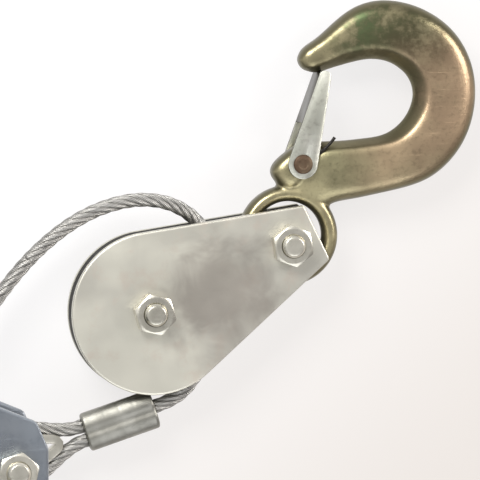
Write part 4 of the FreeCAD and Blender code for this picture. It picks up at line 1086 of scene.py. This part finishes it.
class WINCH_OT_rope_eye(bpy.types.Operator):
    """The thimble and the pressed ferrule"""
    bl_idname = "winch.rope_eye"
    bl_label = "Thimble and ferrule"

    def execute(self, context):
        # ferrule: two lobes side by side, flattened by the press, with softened ends and three press marks
        x = np.linspace(0.0, FERRULE_LENGTH, 105)
        c, s = squared(full_turn(80), 2.35)
        mark = sum(np.exp(-((x - centre) / 0.55) ** 2) for centre in (8.2, 13.6, 19.0))
        from_end = np.minimum(x, FERRULE_LENGTH - x)
        ends = np.sqrt(np.clip(1 - (np.clip(1.2 - from_end, 0, 1.2) / 1.2) ** 2, 0.0, 1)) * 0.16 + 0.84
        wide = (6.95 - 0.04 * mark)[:, None] * ends[:, None] * c[None]
        waist = 1.0 - 0.13 * np.exp(-(c / 0.22) ** 2)
        high = (4.3 - 0.03 * mark)[:, None] * ends[:, None] * s[None] * waist[None]
        grid = np.stack(np.broadcast_arrays(FERRULE_START + x[:, None], wide, BLOCK_MIDDLE + high), -1)
        first = np.array([FERRULE_START, 0.0, BLOCK_MIDDLE])
        grid = moved(capped(grid, first, first + [FERRULE_LENGTH, 0.0, 0.0]), NOSE, EYE_ANGLE)
        finish = plated("pressed_alloy", (0.29, 0.285, 0.255), (0.38, 0.375, 0.34), (0.16, 0.16, 0.15), (0.42, 0.6),
                        cloud_scale=120.0, fleck_scale=500.0, scratch=0.4)
        dress("ferrule", "pressed", [grid], finish, "rope_eye", 40.0)
        # thimble: a bent channel carried round the drop-shaped line of the eye
        point, out = belt_outline([(EYE_MIDDLE, 0.0, 6.5), (17.6, 0.0, 0.4)], 200)
        trough = rounded([(0.0, -3.5), (0.0, 3.5), (3.2, 3.5), (3.2, 2.7), (1.3, 1.9), (1.1, 0.0), (1.3, -1.9),
                          (3.2, -2.7), (3.2, -3.5)], 0.5, closed=True)
        plan = point[None] + trough[:, 0, None, None] * out[None]
        grid = moved(at_height(plan, BLOCK_MIDDLE + trough[:, 1, None, None]), NOSE, EYE_ANGLE)
        dress("thimble", "bent", [grid], fastener_material(context), "rope_eye")
        return {"FINISHED"}


# Frame and drum


class WINCH_OT_frame(bpy.types.Operator):
    """The two frame plates with their spacers"""
    bl_idname = "winch.frame"
    bl_label = "Frame"

    def execute(self, context):
        settings = context.scene.winch_plates
        finish = plated("blue_zinc_plate", settings.blue_zinc, (0.43, 0.46, 0.50), (0.17, 0.2, 0.25), (0.24, 0.4),
                        fleck_scale=260.0, fleck_amount=0.3)
        rollers = [(83.5, 7.5, 1.5), (83.5, -7.5, 1.5), (79.5, 15.5, 2.0), (79.5, -15.5, 2.0), (30.0, 25.0, 12.0),
                   (30.0, -25.0, 12.0), (0.0, 0.0, 37.0), (REAR[0], 0.0, 14.0)]
        for node, bottom in (("frame_plate_lower", PLATES_BOTTOM), ("frame_plate_upper", FRAME_TOP - FRAME_PLATE)):
            grid = plate_grid(rollers, bottom, bottom + FRAME_PLATE, settings.edge_radius * 1200.0, count=320)
            dress(node, "pressed", [grid], finish, "frame", 25.0)
        steel = fastener_material(context)
        for node in ("nose_spacer", "tie_spacer", "anchor_sleeve", "anchor_spacers", "axle_clip"):
            dressed_copy(node, "turned", steel, "frame", 0.0003)
        profile = rounded([(0.0, 0.0), (13.0, 0.0), (13.0, 1.3), (8.0, 1.3), (8.0, 59.7), (6.8, 59.7), (6.8, 61.3),
                           (8.0, 61.3), (8.0, 62.4), (7.0, 63.6), (2.0, 63.6), (1.4, 62.6), (0.0, 62.2)], 0.35)
        dress("drum_axle", "turned", [turned(profile)], steel, "frame")
        return {"FINISHED"}


class WINCH_OT_drum(bpy.types.Operator):
    """The ratchet wheels, the barrel and the pawls with their springs"""
    bl_idname = "winch.drum"
    bl_label = "Drum and pawls"

    def execute(self, context):
        steel = wheel_steel_material()
        for node in ("ratchet_wheel_lower", "ratchet_wheel_upper", "drum_barrel"):
            dressed_copy(node, "dressed", steel, "drum", 0.0003)
        for node in ("hold_pawl", "drive_pawl"):
            dressed_copy(node, "dressed", steel, node, 0.0004)
        for node, body in (("hold_pawl_spring", "frame"), ("drive_pawl_spring", "handle")):
            dressed_copy(node, "wire", dark_spring_material(), body, 0.0003)
        # under the outer layer of rope lie plain turns: a round bed with shallow waves
        bore, bottom, top = 11.15, 15.3, 45.7
        height = np.linspace(bottom + 0.05, top - 0.05, 160)
        bed = 20.0 + 0.12 * np.cos((height - bottom) * 2 * np.pi / 5.05)
        profile = np.vstack([[(bore, bottom), (19.9, bottom)], np.stack([bed, height], -1),
                             [(19.9, top), (bore, top), (bore, bottom)]])
        # the inner turns are coloured dark: painted shade under the outer layer
        dark = plated("shaded_inner_rope", (0.16, 0.155, 0.15), (0.1, 0.1, 0.1), (0.05, 0.05, 0.05), (0.4, 0.6))
        dress("rope_core", "bed", [turned(profile, steps=96)], dark, "drum")
        return {"FINISHED"}


# Handle, with distances along its own line from the drum axle

TUBE_START = 88.0
TUBE_END = 336.0
TUBE_RADIUS = 12.0
GRIP_INSIDE = 12.08
GRIP_RADIUS = 14.6
GRIP_START = 222.0
RINGS_START = 232.0
RINGS_END = 331.0
FIRST_CREST = 238.0
RINGS_SPAN = 85.0
DRIVE_PAWL_REACH = 50.0


class WINCH_OT_handle(bpy.types.Operator):
    """The yoke arms, the tube, the grip and the pin of the drive pawl"""
    bl_idname = "winch.handle"
    bl_label = "Handle"

    def execute(self, context):
        settings = context.scene.winch_handle
        arms = plated("handle_zinc", (0.50, 0.51, 0.52), (0.4, 0.41, 0.42), (0.27, 0.27, 0.28), (0.28, 0.44))
        for node in ("yoke_arm_lower", "yoke_arm_upper"):
            dressed_copy(node, "bent", arms, "handle", 0.0005)
        # tube and grip are turned round the handle's own line
        a = math.radians(HANDLE_ANGLE)
        basis = [(-math.sin(a), math.cos(a), 0.0), (0.0, 0.0, 1.0), (math.cos(a), math.sin(a), 0.0)]
        middle = (0.0, 0.0, FRAME_MIDDLE)
        tube = rounded([(TUBE_RADIUS - 1.6, TUBE_START), (TUBE_RADIUS, TUBE_START), (TUBE_RADIUS, TUBE_END),
                        (TUBE_RADIUS - 1.6, TUBE_END)], 0.4, closed=True)
        steel = plated("handle_tube_zinc", settings.tube_colour, (0.36, 0.37, 0.38), (0.2, 0.2, 0.2))
        dress("handle_tube", "drawn", [turned(tube, middle, 72, basis)], steel, "handle")
        # the finger rings: radius + fade (0.55 wave - 0.2), where wave is a clipped cosine and fade ends it softly
        s = np.linspace(RINGS_START, RINGS_END, 400)
        wave = np.clip(np.cos((s - FIRST_CREST) / RINGS_SPAN * settings.rings * 2 * np.pi), -0.35, 0.6)
        fade = np.clip(np.minimum((s - RINGS_START) / 5.0, (RINGS_END - s) / 5.0), 0.0, 1.0)
        rings = GRIP_RADIUS + (0.55 * wave - 0.2) * fade
        collar = rounded([(GRIP_INSIDE, GRIP_START), (14.0, GRIP_START), (16.4, 225.0), (16.2, 227.6), (15.0, 230.0),
                          (GRIP_RADIUS, 231.5)], 1.0)
        close = rounded([(GRIP_RADIUS, 332.0), (GRIP_RADIUS, 335.0), (11.0, 339.0), (3.0, 339.0), (2.2, 338.2),
                         (0.0, 338.2)], 1.2)
        profile = np.vstack([collar, np.stack([rings, s], -1), close,
                             [(0.0, TUBE_END + 0.3), (GRIP_INSIDE, TUBE_END + 0.3), (GRIP_INSIDE, GRIP_START)]])
        rubber = plated("grip_rubber_matt", settings.grip_colour, (0.03, 0.03, 0.031), (0.05, 0.05, 0.05),
                        (0.55, 0.72), 0.0, scratch=0.2, grain=1500.0, depth=0.00004)
        dress("handle_grip", "moulded", [turned(profile, middle, 96, basis)], rubber, "handle", 50.0)
        x, y = along(AXIS, HANDLE_ANGLE, DRIVE_PAWL_REACH, 0.0)
        pin = rounded([(0.0, 0.0), (6.5, 0.0), (6.5, 1.6), (4.0, 1.6), (4.0, 59.4), (6.5, 59.4), (6.1, 61.2),
                       (3.0, 61.8), (0.0, 61.8)], 0.4)
        dress("drive_pawl_pin", "riveted", [turned(pin, (x, y, 0.0), 56)], fastener_material(context), "handle")
        return {"FINISHED"}


# Stage, in metres

TOWARD_CAMERA = (-0.14, 0.055, 1.0)
CAMERA_ROLL = -0.0037
CAMERA_TARGET = (0.15727, 0.07652, 0.014)
FLOOR_REACH = 3.0
FLOOR_DROP = 0.0006
# name, place, where it looks, size, share of the key light's power, colour
LAMPS = (
    ("key", (-0.35, 0.75, 0.95), (0.13, 0.06, 0.0), 0.55, 1.0, (1.0, 0.985, 0.96)),
    ("rim", (0.75, 0.35, 0.45), (0.16, 0.09, 0.0), 0.35, 0.28, (1.0, 0.96, 0.93)),
    ("fill", (0.2, -0.8, 0.9), (0.12, 0.05, 0.0), 0.9, 0.4, (0.96, 0.98, 1.0)))


class WINCH_OT_stage(bpy.types.Operator):
    """Camera, floor, soft lamps and sky"""
    bl_idname = "winch.stage"
    bl_label = "Stage"

    def execute(self, context):
        settings = context.scene.winch_stage
        scene = context.scene
        scene.view_settings.view_transform = "Standard"
        lens = bpy.data.cameras.new("winch_camera")
        camera = add_object("winch_camera", lens)
        scene.camera = camera
        toward = Vector(TOWARD_CAMERA).normalized()
        level = Vector((0.0, 1.0, 0.0)).cross(toward).normalized()
        right = Matrix.Rotation(CAMERA_ROLL, 3, toward) @ level
        up = toward.cross(right).normalized()
        spot = Vector(CAMERA_TARGET) + toward * settings.camera_distance
        camera.matrix_world = Matrix.Translation(spot) @ Matrix((right, up, toward)).transposed().to_4x4()
        lens.sensor_width = 36.0
        lens.lens = lens.sensor_width * settings.camera_distance / settings.frame_width
        lens.clip_end = 20.0

        floor = add_object("floor", bpy.data.meshes.new("floor"))
        corners = [(x * FLOOR_REACH, y * FLOOR_REACH, 0.0) for x, y in ((-1, -1), (1, -1), (1, 1), (-1, 1))]
        floor.data.from_pydata(corners, [], [(0, 1, 2, 3)])
        floor.location = (0.0, 0.0, -FLOOR_DROP)
        floor.data.materials.append(self.floor_material(settings))

        world = bpy.data.worlds.new("winch_sky")
        scene.world = world
        world.use_nodes = True
        self.sky(world.node_tree, settings)

        for name, spot, aim, size, share, colour in LAMPS:
            lamp = bpy.data.lights.new(name, "AREA")
            lamp.energy = settings.key_power * share
            lamp.size = size
            lamp.color = colour
            holder = add_object(name, lamp)
            holder.location = spot
            holder.rotation_euler = (Vector(aim) - Vector(spot)).to_track_quat("-Z", "Y").to_euler()
        return {"FINISHED"}

    def floor_material(self, settings):
        """Pale floor that keeps soft shadows, with a slow change from white to a warm light grey."""
        material, tree, shader = new_material("pale_floor")
        shader.inputs["Roughness"].default_value = 0.9
        shader.inputs["Specular IOR Level"].default_value = 0.1
        axes = axes_of(tree, object_point(tree))
        slope = maths(tree, "SUBTRACT", axes["X"], axes["Y"])
        colour = mix_colours(tree, range_node(tree, slope, -0.02, 0.28), rgba(settings.floor_white),
                             rgba(settings.floor_grey))
        tree.links.new(colour, shader.inputs["Base Color"])
        glow = add_node(tree, "Emission", {"Color": colour})
        path = add_node(tree, "LightPath", {}).outputs
        seen = maths(tree, "MAXIMUM", path["Is Camera Ray"], path["Is Glossy Ray"])
        mixer = add_node(tree, "MixShader", {"Fac": maths(tree, "MULTIPLY", seen, 0.82), 1: shader.outputs["BSDF"],
                                             2: glow.outputs["Emission"]})
        tree.links.new(mixer.outputs["Shader"], tree.nodes["Material Output"].inputs["Surface"])
        return material

    def sky(self, tree, settings):
        """Soft sky that goes from grey on one side to white on the other."""
        back = tree.nodes["Background"]
        axes = axes_of(tree, add_node(tree, "TexCoord", {}).outputs["Generated"])
        lean = maths(tree, "ADD", maths(tree, "MULTIPLY", axes["X"], -0.55), maths(tree, "MULTIPLY", axes["Y"], 0.75))
        colour = mix_colours(tree, range_node(tree, lean, -0.75, 0.55), (0.44, 0.42, 0.42, 1.0), (1.0, 1.0, 1.0, 1.0))
        tree.links.new(colour, back.inputs["Color"])
        back.inputs["Strength"].default_value = settings.sky_strength


class WINCH_PT_panel(bpy.types.Panel):
    """Lists the pieces of the winch"""
    bl_label = "Come along winch"
    bl_idname = "WINCH_PT_panel"
    bl_space_type = "VIEW_3D"
    bl_region_type = "UI"
    bl_category = "Winch"

    def draw(self, context):
        for operator in OPERATORS:
            self.layout.operator(operator.bl_idname)
        for name in SETTINGS:
            group = getattr(context.scene, name)
            box = self.layout.box()
            for key in group.bl_rna.properties.keys():
                if key not in ("rna_type", "name"):
                    box.prop(group, key)


OPERATORS = (WINCH_OT_stage, WINCH_OT_slack_rope, WINCH_OT_wound_rope, WINCH_OT_hooks, WINCH_OT_latches,
             WINCH_OT_block, WINCH_OT_rope_eye, WINCH_OT_fasteners, WINCH_OT_frame, WINCH_OT_drum, WINCH_OT_handle)
SETTINGS = {
    "winch_stage": WinchStageSettings,
    "winch_rope": WinchRopeSettings,
    "winch_hook": WinchHookSettings,
    "winch_plates": WinchPlateSettings,
    "winch_fasteners": WinchFastenerSettings,
    "winch_handle": WinchHandleSettings,
}
CLASSES = (*SETTINGS.values(), *OPERATORS, WINCH_PT_panel)


def register():
    for item in CLASSES:
        bpy.utils.register_class(item)
    for name, group in SETTINGS.items():
        setattr(bpy.types.Scene, name, bpy.props.PointerProperty(type=group))


def unregister():
    for name in SETTINGS:
        delattr(bpy.types.Scene, name)
    for item in reversed(CLASSES):
        bpy.utils.unregister_class(item)


def main():
    register()
    for operator in OPERATORS:
        family, call = operator.bl_idname.split(".")
        getattr(getattr(bpy.ops, family), call)()


if __name__ == "__main__":
    main()
